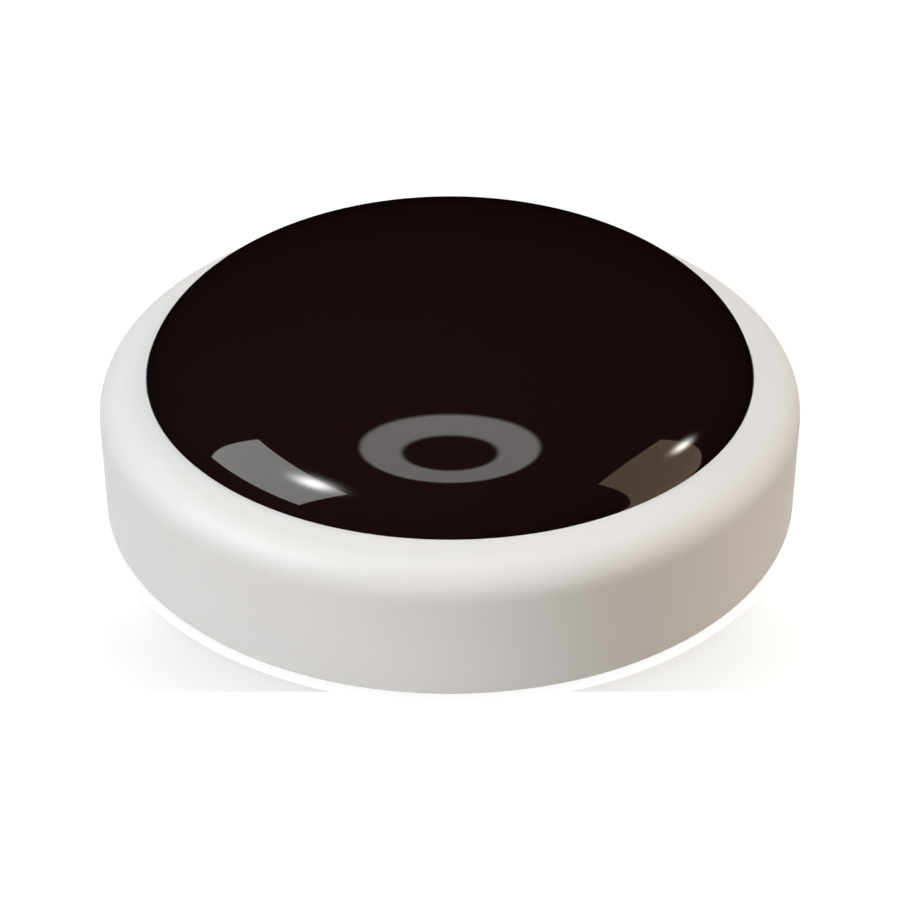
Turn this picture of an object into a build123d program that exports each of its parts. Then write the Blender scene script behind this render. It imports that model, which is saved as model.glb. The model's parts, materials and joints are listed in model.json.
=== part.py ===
from build123d import *
import math
import os

os.makedirs("parts", exist_ok=True)

# Round infrared controller, in millimetres. +Z is up, and the origin is the middle of the ring that
# the case stands on. The front is -Y. The power inlet and the reset button are in the rear wall, at +Y.

# Outline of the case and its window
case_radius = 33.0
foot_proud = 0.6
straight_wall = 9.6
shoulder_radius = 3.35
land_slope = 10.9
window_radius = 28.4
dome_semi_radius = 28.51
dome_semi_height = 10.33

# Thicknesses and gaps of the mouldings
case_wall = 1.8
bezel_thickness = 1.6
window_thickness = 1.6
window_gap = 0.15
flange_radius = 30.1
flange_thickness = 1.0
adhesive_thickness = 0.2
inner_corner = 1.0
edge_break = 0.15

# Base cover, the ring that it stands on and the blank label
cover_gap = 0.2
cover_recess = 0.3
cover_thickness = 2.0
foot_inner_radius = 20.5
foot_outer_radius = 24.5
foot_groove_depth = 0.9
foot_gap = 0.1
foot_edge = 0.35
label_radius = 14.8
label_thickness = 0.15
label_recess_depth = 0.25

# Screws and the posts that take them
case_screw_circle = 27.6
case_screw_count = 3
case_screw_azimuth = 30.0
case_screw_radius = 1.0
case_screw_length = 6.5
case_head_radius = 1.9
case_head_height = 1.3
case_counterbore_radius = 2.1
case_counterbore_depth = 1.6
case_post_radius = 2.6
cover_boss_radius = 3.0
cover_boss_height = 1.3
board_screw_circle = 26.0
board_screw_azimuths = (210.0, 330.0)
board_screw_radius = 0.8
board_screw_length = 4.2
board_head_radius = 1.5
board_head_height = 1.0
board_post_radius = 2.3
post_web = 3.2
post_to_flange = 0.25
thread_allowance = 0.02
clearance_allowance = 0.2

# Main board
board_radius = 28.6
board_thickness = 1.6
board_underside = 6.4
board_tongue_width = 11.0
board_tongue_reach = 29.1
board_notch_gap = 0.5
lead_hole_radius = 0.45

# Infrared emitters, 5 mm round, six round the board and one at its middle
emitter_count = 6
emitter_azimuth = 30.0
emitter_circle = 14.5
emitter_tilt = 35.0
emitter_above_board = 2.5
emitter_lens_radius = 2.5
emitter_flange_radius = 2.9
emitter_flange_height = 1.0
emitter_length = 8.6
top_emitter_above_board = 3.0
lead_side = 0.5
lead_pitch = 2.54
lead_before_bend = 1.2
lead_below_board = 0.8

# Infrared receiver, upright and facing outwards
receiver_azimuth = 300.0
receiver_circle = 19.5
receiver_width = 6.2
receiver_depth = 2.8
receiver_height = 7.0
receiver_above_board = 1.0
receiver_lens_radius = 2.3
receiver_lens_reach = 1.3
receiver_lens_height = 4.4

# Wireless module under the board, with its aerial at the board's right edge
module_inner_edge = 14.0
module_length = 13.5
module_width = 14.0
module_thickness = 0.8
castellation_count = 7
castellation_pitch = 1.5
castellation_radius = 0.35
shield_length = 8.0
shield_width = 12.0
shield_height = 2.1
shield_sheet = 0.2
shield_margin = 0.5
chip_side = 5.0
chip_height = 0.85
aerial_reach = 3.6
aerial_span = 12.0
aerial_trace = 0.5
aerial_turns = 6
aerial_thickness = 0.1

# Micro-USB power inlet under the board
inlet_azimuth = 90.0
inlet_height = 5.15
inlet_mouth = 30.6
inlet_length = 5.6
inlet_shell_width = 7.5
inlet_shell_height = 2.5
inlet_narrow_width = 5.8
inlet_bevel_height = 1.05
inlet_corner = 0.35
inlet_sheet = 0.25
inlet_lip_length = 0.5
inlet_lip_flare = 0.3
inlet_block_length = 1.4
inlet_tongue_width = 4.2
inlet_tongue_thickness = 0.7
inlet_tongue_back = 0.7
inlet_contact_count = 5
inlet_contact_pitch = 0.65
inlet_contact_width = 0.35
inlet_contact_thickness = 0.12
port_width = 11.2
port_height = 6.8
port_corner = 1.2
port_relief = 0.15
port_relief_depth = 0.4

# Reset button in the rear wall, and the side-push switch behind it
button_azimuth = 65.0
button_radius = 1.85
button_hole_radius = 2.0
button_proud = 0.4
button_flange_width = 6.0
button_flange_height = 4.0
button_flange_corner = 0.8
button_flange_thickness = 0.8
button_flange_gap = 0.25
button_nose_radius = 1.2
button_to_plunger = 0.1
button_edge = 0.4
switch_front = 28.2
switch_width = 6.0
switch_depth = 3.0
switch_height = 2.5
switch_sheet = 0.2
plunger_width = 2.6
plunger_height = 1.3
plunger_reach = 1.15
plunger_inside = 1.2
plunger_gap = 0.15
plunger_slot_spare = 0.6

# Small parts soldered to the board: places are x, y and the turn about Z
transistor_body = (2.9, 1.3, 1.0)
transistor_places = ((7.2, 0.0, 90.0), (-7.2, 0.0, 90.0), (0.0, 7.0, 0.0), (0.0, -7.0, 0.0))
transistor_standoff = 0.1
transistor_lead = (0.4, 0.6, 0.15)
transistor_lead_offset = 0.95
resistor_size = (2.0, 1.25, 0.5)
resistor_circle = 10.4
resistor_underside_places = ((-8.0, 24.0, 90.0), (-10.5, 24.0, 90.0), (9.5, -18.0, 0.0), (9.5, -15.5, 0.0))
capacitor_size = (2.0, 1.25, 1.1)
capacitor_underside_places = ((-17.0, 7.0, 0.0), (-17.0, -7.0, 0.0), (-10.0, 18.0, 90.0), (-13.0, 18.0, 90.0))
status_led_size = (2.0, 1.25, 0.8)
status_led_circle = 20.5
status_led_azimuth = 240.0
regulator_body = (3.5, 6.5, 1.6)
regulator_place = (-18.5, 0.0)
regulator_standoff = 0.1
regulator_lead = (1.75, 0.7, 0.3)
regulator_lead_pitch = 2.3
regulator_tab_width = 3.0
bulk_place = (-20.0, 0.0)
bulk_radius = 2.5
bulk_height = 5.4
bulk_base_side = 5.3
bulk_base_height = 0.9
bulk_base_corner = 0.9

# Levels and radii that follow from the values above
case_floor = foot_proud
case_inner_radius = case_radius - case_wall
shoulder_base = case_floor + straight_wall
shoulder_centre = case_radius - shoulder_radius
slope = math.radians(land_slope)
land_outer_radius = shoulder_centre + shoulder_radius * math.sin(slope)
land_outer_height = shoulder_base + shoulder_radius * math.cos(slope)
rim_height = land_outer_height + (land_outer_radius - window_radius) * math.tan(slope)
opening_radius = window_radius + window_gap
opening_height = rim_height - window_gap * math.tan(slope)
bezel_underside = rim_height - bezel_thickness
dome_edge_angle = math.degrees(math.acos(window_radius / dome_semi_radius))
dome_centre = rim_height - dome_semi_height * math.sin(math.radians(dome_edge_angle))
window_inner_radius = dome_semi_radius - window_thickness
flange_top = bezel_underside - adhesive_thickness
flange_bottom = flange_top - flange_thickness
post_top = flange_bottom - post_to_flange
cover_underside = case_floor + cover_recess
cover_top = cover_underside + cover_thickness
cover_radius = case_inner_radius - cover_gap
foot_top = cover_underside + foot_groove_depth
boss_top = cover_top + cover_boss_height
case_screw_seat = cover_underside + case_counterbore_depth
relief_floor = inlet_height - port_height / 2 - port_relief
board_top = board_underside + board_thickness
lead_end = board_underside - lead_below_board
lead_circle = emitter_circle - lead_before_bend * math.cos(math.radians(emitter_tilt))
module_middle = module_inner_edge + module_length / 2
module_underside = board_underside - module_thickness
shield_middle = module_inner_edge + shield_margin + shield_length / 2
aerial_inner_edge = module_inner_edge + module_length - shield_margin - aerial_reach
emitter_azimuths = [emitter_azimuth + 360.0 / emitter_count * turn for turn in range(emitter_count)]
on_base = (Align.CENTER, Align.CENTER, Align.MIN)


def radial_plane(azimuth, radius, height, tilt=0.0):
    """A plane that faces outwards at an azimuth and tilts up: its x runs round the case."""
    around = Vector(0, 1, 0).rotate(Axis.Z, azimuth)
    outward = Vector(math.cos(math.radians(tilt)), 0, math.sin(math.radians(tilt))).rotate(Axis.Z, azimuth)
    middle = Vector(radius, 0, height).rotate(Axis.Z, azimuth)
    return Plane(origin=middle, x_dir=around, z_dir=outward)


def dome_curve(semi_radius, semi_height, start_angle):
    """Control points of an ellipse's arc up to the crown, true to a hundredth of a millimetre."""
    start = math.radians(start_angle)
    reach = 4 / 3 * math.tan((math.pi / 2 - start) / 4)
    edge = (semi_radius * math.cos(start), dome_centre + semi_height * math.sin(start))
    edge_handle = (
        edge[0] - reach * semi_radius * math.sin(start),
        edge[1] + reach * semi_height * math.cos(start),
    )
    crown = (0, dome_centre + semi_height)
    crown_handle = (reach * semi_radius, crown[1])
    return edge, edge_handle, crown_handle, crown


def upright_screws(places, seat, shank_radius, shank_length, head_radius, head_height):
    """Cross-recess screws that point up, with their heads under the seat."""
    head_bottom = seat - head_height
    with BuildPart() as screws:
        with BuildSketch(Plane.XY.offset(head_bottom)):
            with Locations(*places):
                Circle(head_radius)
        extrude(amount=head_height)
        chamfer(screws.edges().group_by(Axis.Z)[0], head_height / 4)
        with BuildSketch(Plane.XY.offset(seat)):
            with Locations(*places):
                Circle(shank_radius)
        extrude(amount=shank_length)
        chamfer(screws.edges().group_by(Axis.Z)[-1], shank_radius / 2)
        with BuildSketch(Plane.XY.offset(head_bottom)):
            with Locations(*places):
                Rectangle(head_radius * 1.1, head_radius / 4)
                Rectangle(head_radius / 4, head_radius * 1.1)
        extrude(amount=head_height * 0.6, mode=Mode.SUBTRACT)
    return screws


def emitter_on(plane):
    """A 5 mm round emitter whose flange is on the plane and whose lens points along its normal."""
    barrel = emitter_length - emitter_lens_radius
    with BuildPart(plane) as emitter:
        Cylinder(emitter_flange_radius, emitter_flange_height, align=on_base)
        Cylinder(emitter_lens_radius, barrel, align=on_base)
        with Locations((0, 0, barrel)):
            Sphere(emitter_lens_radius)
    return emitter


def chips(places, size, level, upwards):
    """Small rectangular parts on one side of the board, each a separate solid."""
    length, width, height = size
    with BuildPart() as group:
        with BuildSketch(Plane.XY.offset(level)):
            for x, y, turn in places:
                with Locations((x, y)):
                    Rectangle(length, width, rotation=turn)
        extrude(amount=height if upwards else -height)
    return group


case_screw_places = [
    (case_screw_circle * math.cos(math.radians(case_screw_azimuth + 360.0 / case_screw_count * turn)),
     case_screw_circle * math.sin(math.radians(case_screw_azimuth + 360.0 / case_screw_count * turn)))
    for turn in range(case_screw_count)
]
board_screw_places = [
    (board_screw_circle * math.cos(math.radians(azimuth)), board_screw_circle * math.sin(math.radians(azimuth)))
    for azimuth in board_screw_azimuths
]

# Upper housing: the white ring-shaped shell, with its rounded shoulder and sloping land
with BuildPart() as upper_housing:
    with BuildSketch(Plane.XZ):
        with BuildLine():
            Line((case_inner_radius, case_floor), (case_radius, case_floor))
            Line((case_radius, case_floor), (case_radius, shoulder_base))
            shoulder = CenterArc((shoulder_centre, shoulder_base), shoulder_radius, 0, 90 - land_slope)
            Line(shoulder @ 1, (opening_radius, opening_height))
            Line((opening_radius, opening_height), (opening_radius, bezel_underside))
            Line((opening_radius, bezel_underside), (case_inner_radius - inner_corner, bezel_underside))
            corner = CenterArc(
                (case_inner_radius - inner_corner, bezel_underside - inner_corner), inner_corner, 0, 90
            )
            Line(corner @ 0, (case_inner_radius, case_floor))
        make_face()
    revolve(axis=Axis.Z)
    floor_edges = upper_housing.edges().group_by(Axis.Z)[0]
    opening_edge = upper_housing.edges().group_by(Axis.Z)[-1]
    fillet(floor_edges + opening_edge, edge_break)
    # Posts for the case screws, down to the base cover's bosses, and webs to the wall
    with BuildSketch(Plane.XY.offset(boss_top)):
        with PolarLocations(case_screw_circle, case_screw_count, case_screw_azimuth):
            Circle(case_post_radius)
            web_length = case_inner_radius - case_screw_circle + case_wall / 4
            Rectangle(web_length, post_web, align=(Align.MIN, Align.CENTER))
    extrude(amount=post_top - boss_top)
    # Short posts above the board
    with BuildSketch(Plane.XY.offset(board_top)):
        for azimuth in board_screw_azimuths:
            with PolarLocations(board_screw_circle, 1, azimuth):
                Circle(board_post_radius)
                web_length = case_inner_radius - board_screw_circle + case_wall / 4
                Rectangle(web_length, post_web, align=(Align.MIN, Align.CENTER))
    extrude(amount=post_top - board_top)
    with BuildSketch(Plane.XY.offset(boss_top)):
        with Locations(*case_screw_places):
            Circle(case_screw_radius + thread_allowance)
    extrude(amount=case_screw_length, mode=Mode.SUBTRACT)
    with BuildSketch(Plane.XY.offset(board_top)):
        with Locations(*board_screw_places):
            Circle(board_screw_radius + thread_allowance)
    extrude(amount=post_top - board_top, mode=Mode.SUBTRACT)
    # Holes through the rear wall for the power inlet and the reset button
    with BuildSketch(radial_plane(inlet_azimuth, case_inner_radius - case_wall, inlet_height)):
        RectangleRounded(port_width, port_height, port_corner)
    extrude(amount=3 * case_wall, mode=Mode.SUBTRACT)
    with BuildSketch(radial_plane(button_azimuth, case_inner_radius - case_wall, inlet_height)):
        Circle(button_hole_radius)
    extrude(amount=3 * case_wall, mode=Mode.SUBTRACT)
upper_housing.part.label = "upper_housing"
export_step(upper_housing.part, "parts/upper_housing.step")

# Dome window: a moulded half ellipsoid that lets infrared through, with a flange under the bezel
with BuildPart() as dome_window:
    with BuildSketch(Plane.XZ):
        with BuildLine():
            outside = Bezier(*dome_curve(dome_semi_radius, dome_semi_height, dome_edge_angle))
            inside = Bezier(*dome_curve(window_inner_radius, dome_semi_height - window_thickness, 0))
            Polyline(
                outside @ 0,
                (window_radius, flange_top),
                (flange_radius, flange_top),
                (flange_radius, flange_bottom),
                (window_inner_radius, flange_bottom),
                inside @ 0,
            )
            Line(outside @ 1, inside @ 1)
        make_face()
    revolve(axis=Axis.Z)
dome_window.part.label = "dome_window"
export_step(dome_window.part, "parts/dome_window.step")

# Adhesive ring between the window's flange and the bezel
with BuildPart() as window_adhesive:
    with BuildSketch(Plane.XY.offset(flange_top)):
        Circle(flange_radius - window_gap)
        Circle(opening_radius + window_gap, mode=Mode.SUBTRACT)
    extrude(amount=adhesive_thickness)
window_adhesive.part.label = "window_adhesive"
export_step(window_adhesive.part, "parts/window_adhesive.step")

# Base cover: the disc that closes the case from below
with BuildPart() as base_cover:
    with BuildSketch(Plane.XY.offset(cover_underside)):
        Circle(cover_radius)
    extrude(amount=cover_thickness)
    chamfer(base_cover.edges().group_by(Axis.Z)[0], edge_break)
    with BuildSketch(Plane.XY.offset(cover_top)):
        with Locations(*case_screw_places):
            Circle(cover_boss_radius)
    extrude(amount=cover_boss_height)
    with BuildSketch(Plane.XY.offset(cover_underside)):
        Circle(foot_outer_radius + foot_gap)
        Circle(foot_inner_radius - foot_gap, mode=Mode.SUBTRACT)
    extrude(amount=foot_groove_depth, mode=Mode.SUBTRACT)
    with BuildSketch(Plane.XY.offset(cover_underside)):
        Circle(label_radius + foot_gap)
    extrude(amount=label_recess_depth, mode=Mode.SUBTRACT)
    with BuildSketch(Plane.XY.offset(cover_underside)):
        with Locations(*case_screw_places):
            Circle(case_counterbore_radius)
    extrude(amount=case_counterbore_depth, mode=Mode.SUBTRACT)
    with BuildSketch(Plane.XY.offset(case_screw_seat)):
        with Locations(*case_screw_places):
            Circle(case_screw_radius + clearance_allowance)
    extrude(amount=boss_top - case_screw_seat, mode=Mode.SUBTRACT)
    # Flat relief in the rim, where the plug's moulded nose comes through the port
    with BuildSketch(Plane.XY.offset(relief_floor)):
        with Locations((0, inlet_mouth - port_relief_depth)):
            Rectangle(port_width + 2 * port_relief, port_width, align=(Align.CENTER, Align.MIN))
    extrude(amount=cover_top - relief_floor, mode=Mode.SUBTRACT)
base_cover.part.label = "base_cover"
export_step(base_cover.part, "parts/base_cover.step")

# Foot ring: silicone, in the base cover's groove
with BuildPart() as foot_ring:
    with BuildSketch():
        Circle(foot_outer_radius)
        Circle(foot_inner_radius, mode=Mode.SUBTRACT)
    extrude(amount=foot_top)
    fillet(foot_ring.edges().group_by(Axis.Z)[0], foot_edge)
foot_ring.part.label = "foot_ring"
export_step(foot_ring.part, "parts/foot_ring.step")

# Blank label in the middle of the base cover
with BuildPart() as rating_label:
    with BuildSketch(Plane.XY.offset(cover_underside + label_recess_depth)):
        Circle(label_radius)
    extrude(amount=-label_thickness)
rating_label.part.label = "rating_label"
export_step(rating_label.part, "parts/rating_label.step")

# Screws: three hold the base cover, two hold the board under its posts
case_screws = upright_screws(
    case_screw_places,
    case_screw_seat,
    case_screw_radius,
    case_screw_length,
    case_head_radius,
    case_head_height,
)
case_screws.part.label = "case_screws"
export_step(case_screws.part, "parts/case_screws.step")

board_screws = upright_screws(
    board_screw_places,
    board_underside,
    board_screw_radius,
    board_screw_length,
    board_head_radius,
    board_head_height,
)
board_screws.part.label = "board_screws"
export_step(board_screws.part, "parts/board_screws.step")

# Main board: round, with a tongue under the power inlet and notches round the case posts
with BuildPart() as main_board:
    with BuildSketch(Plane.XY.offset(board_underside)):
        Circle(board_radius)
        with Locations((0, board_tongue_reach)):
            Rectangle(board_tongue_width, board_radius / 2, align=(Align.CENTER, Align.MAX))
        with PolarLocations(case_screw_circle, case_screw_count, case_screw_azimuth):
            notch_radius = case_post_radius + board_notch_gap
            Circle(notch_radius, mode=Mode.SUBTRACT)
            Rectangle(
                board_radius - case_screw_circle + notch_radius,
                2 * notch_radius,
                align=(Align.MIN, Align.CENTER),
                mode=Mode.SUBTRACT,
            )
        with Locations(*board_screw_places):
            Circle(board_screw_radius + clearance_allowance, mode=Mode.SUBTRACT)
        for azimuth in emitter_azimuths:
            with PolarLocations(lead_circle, 1, azimuth):
                with GridLocations(0, lead_pitch, 1, 2):
                    Circle(lead_hole_radius, mode=Mode.SUBTRACT)
        with GridLocations(lead_pitch, 0, 2, 1):
            Circle(lead_hole_radius, mode=Mode.SUBTRACT)
        with PolarLocations(receiver_circle, 1, receiver_azimuth):
            with GridLocations(0, lead_pitch, 1, 3):
                Circle(lead_hole_radius, mode=Mode.SUBTRACT)
    extrude(amount=board_thickness)
main_board.part.label = "main_board"
export_step(main_board.part, "parts/main_board.step")

# Infrared emitters: six tilted outwards, each a node of its own, and one straight up
for number, azimuth in enumerate(emitter_azimuths, start=1):
    seat_height = board_top + emitter_above_board
    ir_emitter = emitter_on(radial_plane(azimuth, emitter_circle, seat_height, emitter_tilt))
    ir_emitter.part.label = f"ir_emitter_{number}"
    export_step(ir_emitter.part, f"parts/ir_emitter_{number}.step")

ir_emitter_top = emitter_on(Plane.XY.offset(board_top + top_emitter_above_board))
ir_emitter_top.part.label = "ir_emitter_top"
export_step(ir_emitter_top.part, "parts/ir_emitter_top.step")

# Emitter leads: square wires, bent down to the board's holes, a pair for each emitter
with BuildPart() as emitter_leads:
    for azimuth in emitter_azimuths:
        seat_height = board_top + emitter_above_board
        behind = radial_plane(azimuth, emitter_circle, seat_height, emitter_tilt)
        outward = Vector(1, 0, 0).rotate(Axis.Z, azimuth)
        around = Vector(0, 1, 0).rotate(Axis.Z, azimuth)
        for side in (-1, 1):
            start = behind.origin + around * (side * lead_pitch / 2)
            bend = start - behind.z_dir * lead_before_bend
            end = Vector(bend.X, bend.Y, lead_end)
            with BuildLine():
                FilletPolyline(start, bend, end, radius=lead_side)
            with BuildSketch(Plane(origin=start, x_dir=around, z_dir=-behind.z_dir)):
                Rectangle(lead_side, lead_side)
            sweep()
    with BuildSketch(Plane.XY.offset(lead_end)):
        with GridLocations(lead_pitch, 0, 2, 1):
            Rectangle(lead_side, lead_side)
    extrude(amount=board_top + top_emitter_above_board - lead_end)
emitter_leads.part.label = "emitter_leads"
export_step(emitter_leads.part, "parts/emitter_leads.step")

# Infrared receiver: an upright moulded block with a round lens on its outer face
receiver_seat = radial_plane(receiver_azimuth, receiver_circle, board_top + receiver_above_board)
with BuildPart() as ir_receiver:
    with BuildSketch(receiver_seat.offset(-receiver_depth / 2)):
        Rectangle(receiver_width, receiver_height, align=(Align.CENTER, Align.MIN))
    extrude(amount=receiver_depth)
    fillet(ir_receiver.edges().filter_by(Axis.Z), receiver_depth / 8)
    with BuildSketch(receiver_seat.offset(receiver_depth / 2)):
        with Locations((0, receiver_lens_height)):
            Circle(receiver_lens_radius)
    extrude(amount=receiver_lens_reach, taper=25)
    fillet(ir_receiver.edges().filter_by(GeomType.CIRCLE).sort_by(Axis.X)[-1:], receiver_lens_reach / 4)
ir_receiver.part.label = "ir_receiver"
export_step(ir_receiver.part, "parts/ir_receiver.step")

with BuildPart() as receiver_leads:
    with BuildSketch(Plane.XY.offset(lead_end)):
        with PolarLocations(receiver_circle, 1, receiver_azimuth):
            with GridLocations(0, lead_pitch, 1, 3):
                Rectangle(lead_side, lead_side)
    extrude(amount=board_top + receiver_above_board - lead_end)
receiver_leads.part.label = "receiver_leads"
export_step(receiver_leads.part, "parts/receiver_leads.step")

# Wireless module: its board with half holes along two sides, the shield can, the chip and the aerial
with BuildPart() as wifi_board:
    with BuildSketch(Plane.XY.offset(module_underside)):
        with Locations((module_middle, 0)):
            Rectangle(module_length, module_width)
        with Locations((module_inner_edge + castellation_count * castellation_pitch / 2, 0)):
            with GridLocations(castellation_pitch, module_width, castellation_count, 2):
                Circle(castellation_radius, mode=Mode.SUBTRACT)
    extrude(amount=module_thickness)
wifi_board.part.label = "wifi_board"
export_step(wifi_board.part, "parts/wifi_board.step")

with BuildPart() as wifi_shield:
    with BuildSketch(Plane.XY.offset(module_underside)):
        with Locations((shield_middle, 0)):
            RectangleRounded(shield_length, shield_width, shield_margin)
    extrude(amount=-shield_height)
    fillet(wifi_shield.edges().group_by(Axis.Z)[0], shield_sheet)
    with BuildSketch(Plane.XY.offset(module_underside)):
        with Locations((shield_middle, 0)):
            RectangleRounded(
                shield_length - 2 * shield_sheet, shield_width - 2 * shield_sheet, shield_margin - shield_sheet
            )
    extrude(amount=shield_sheet - shield_height, mode=Mode.SUBTRACT)
wifi_shield.part.label = "wifi_shield"
export_step(wifi_shield.part, "parts/wifi_shield.step")

wifi_chip = chips([(shield_middle, 0, 0)], (chip_side, chip_side, chip_height), module_underside, False)
wifi_chip.part.label = "wifi_chip"
export_step(wifi_chip.part, "parts/wifi_chip.step")

with BuildPart() as wifi_aerial:
    leg_pitch = (aerial_span - aerial_trace) / (2 * aerial_turns - 1)
    with BuildSketch(Plane.XY.offset(module_underside)):
        for leg in range(2 * aerial_turns):
            leg_y = -aerial_span / 2 + aerial_trace / 2 + leg * leg_pitch
            with Locations((aerial_inner_edge, leg_y)):
                Rectangle(aerial_reach, aerial_trace, align=(Align.MIN, Align.CENTER))
            if leg < 2 * aerial_turns - 1:
                bridge_x = aerial_inner_edge + (aerial_reach - aerial_trace if leg % 2 == 0 else 0)
                with Locations((bridge_x, leg_y)):
                    Rectangle(aerial_trace, leg_pitch, align=(Align.MIN, Align.MIN))
    extrude(amount=-aerial_thickness)
wifi_aerial.part.label = "wifi_aerial"
export_step(wifi_aerial.part, "parts/wifi_aerial.step")

# Power inlet: the folded steel shell, the tongue moulding and its contacts
inlet_rear = radial_plane(inlet_azimuth, inlet_mouth - inlet_length, inlet_height)
shell_outline = (
    (-inlet_shell_width / 2, inlet_shell_height / 2),
    (inlet_shell_width / 2, inlet_shell_height / 2),
    (inlet_shell_width / 2, inlet_bevel_height - inlet_shell_height / 2),
    (inlet_narrow_width / 2, -inlet_shell_height / 2),
    (-inlet_narrow_width / 2, -inlet_shell_height / 2),
    (-inlet_shell_width / 2, inlet_bevel_height - inlet_shell_height / 2),
)
with BuildPart() as usb_shell:
    with BuildSketch(inlet_rear) as shell_ring:
        with BuildLine():
            Polyline(*shell_outline, close=True)
        make_face()
        fillet(shell_ring.vertices(), inlet_corner)
        offset(amount=-inlet_sheet, mode=Mode.SUBTRACT)
    extrude(amount=inlet_length - inlet_lip_length)
    with BuildSketch(inlet_rear.offset(inlet_length - inlet_lip_length)) as lip_ring:
        with BuildLine():
            Polyline(*shell_outline, close=True)
        make_face()
        fillet(lip_ring.vertices(), inlet_corner)
        offset(amount=inlet_lip_flare)
        offset(amount=-inlet_sheet - inlet_lip_flare, mode=Mode.SUBTRACT)
    extrude(amount=inlet_lip_length)
usb_shell.part.label = "usb_shell"
export_step(usb_shell.part, "parts/usb_shell.step")

with BuildPart() as usb_tongue:
    with BuildSketch(inlet_rear) as block_section:
        with BuildLine():
            Polyline(*shell_outline, close=True)
        make_face()
        fillet(block_section.vertices(), inlet_corner)
        offset(amount=-inlet_sheet)
    extrude(amount=inlet_block_length)
    with BuildSketch(inlet_rear):
        with Locations((0, inlet_shell_height / 8)):
            Rectangle(inlet_tongue_width, inlet_tongue_thickness)
    extrude(amount=inlet_length - inlet_tongue_back)
usb_tongue.part.label = "usb_tongue"
export_step(usb_tongue.part, "parts/usb_tongue.step")

with BuildPart() as usb_contacts:
    contact_level = inlet_shell_height / 8 - inlet_tongue_thickness / 2 - inlet_contact_thickness / 2
    with BuildSketch(inlet_rear.offset(inlet_block_length)):
        with Locations((0, contact_level)):
            with GridLocations(inlet_contact_pitch, 0, inlet_contact_count, 1):
                Rectangle(inlet_contact_width, inlet_contact_thickness)
    extrude(amount=inlet_length - inlet_block_length - 2 * inlet_tongue_back)
usb_contacts.part.label = "usb_contacts"
export_step(usb_contacts.part, "parts/usb_contacts.step")

# Reset button: a round cap in the wall, an oblong flange behind the wall and a nose towards the switch
flange_face = case_inner_radius - button_flange_gap
flange_back = flange_face - button_flange_thickness
plunger_tip = switch_front + plunger_reach
nose_tip = plunger_tip + button_to_plunger
with BuildPart() as reset_button:
    with BuildSketch(radial_plane(button_azimuth, nose_tip, inlet_height)):
        Circle(button_nose_radius)
    extrude(amount=flange_back - nose_tip)
    with BuildSketch(radial_plane(button_azimuth, flange_back, inlet_height)):
        RectangleRounded(button_flange_width, button_flange_height, button_flange_corner)
    extrude(amount=button_flange_thickness)
    with BuildSketch(radial_plane(button_azimuth, flange_face, inlet_height)):
        Circle(button_radius)
    extrude(amount=case_radius + button_proud - flange_face)
    outward = radial_plane(button_azimuth, 0, 0).z_dir
    fillet(reset_button.edges().sort_by(Axis((0, 0, 0), outward))[-1:], button_edge)
reset_button.part.label = "reset_button"
export_step(reset_button.part, "parts/reset_button.step")

# Side-push switch under the board: moulded housing, folded steel cover and moving plunger
switch_back = switch_front - switch_depth
switch_top = board_underside - inlet_height
with BuildPart() as switch_housing:
    with BuildSketch(radial_plane(button_azimuth, switch_back, inlet_height)):
        with Locations((0, switch_top)):
            Rectangle(switch_width, switch_height, align=(Align.CENTER, Align.MAX))
    extrude(amount=switch_depth)
    slot_depth = plunger_inside + plunger_slot_spare
    with BuildSketch(radial_plane(button_azimuth, switch_front - slot_depth, inlet_height)):
        Rectangle(plunger_width + 2 * plunger_gap, plunger_height + 2 * plunger_gap)
    extrude(amount=slot_depth, mode=Mode.SUBTRACT)
switch_housing.part.label = "switch_housing"
export_step(switch_housing.part, "parts/switch_housing.step")

with BuildPart() as switch_cover:
    with BuildSketch(radial_plane(button_azimuth, switch_back, inlet_height)):
        with Locations((0, switch_top)):
            Rectangle(
                switch_width + 2 * switch_sheet, switch_height + switch_sheet, align=(Align.CENTER, Align.MAX)
            )
            Rectangle(
                switch_width, switch_height, align=(Align.CENTER, Align.MAX), mode=Mode.SUBTRACT
            )
    extrude(amount=switch_depth)
switch_cover.part.label = "switch_cover"
export_step(switch_cover.part, "parts/switch_cover.step")

with BuildPart() as switch_plunger:
    with BuildSketch(radial_plane(button_azimuth, switch_front - plunger_inside, inlet_height)):
        Rectangle(plunger_width, plunger_height)
    extrude(amount=plunger_inside + plunger_reach)
switch_plunger.part.label = "switch_plunger"
export_step(switch_plunger.part, "parts/switch_plunger.step")

# Driver transistors and their leads, on the board's upper side
driver_transistors = chips(transistor_places, transistor_body, board_top + transistor_standoff, True)
driver_transistors.part.label = "driver_transistors"
export_step(driver_transistors.part, "parts/driver_transistors.step")

lead_width, lead_length, lead_thickness = transistor_lead
with BuildPart() as transistor_leads:
    with BuildSketch(Plane.XY.offset(board_top)):
        for x, y, turn in transistor_places:
            with Locations(Location((x, y, 0), turn)):
                lead_row = transistor_body[1] / 2
                with Locations((-transistor_lead_offset, -lead_row), (transistor_lead_offset, -lead_row)):
                    Rectangle(lead_width, lead_length, align=(Align.CENTER, Align.MAX))
                with Locations((0, lead_row)):
                    Rectangle(lead_width, lead_length, align=(Align.CENTER, Align.MIN))
    extrude(amount=lead_thickness)
transistor_leads.part.label = "transistor_leads"
export_step(transistor_leads.part, "parts/transistor_leads.step")

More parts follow.
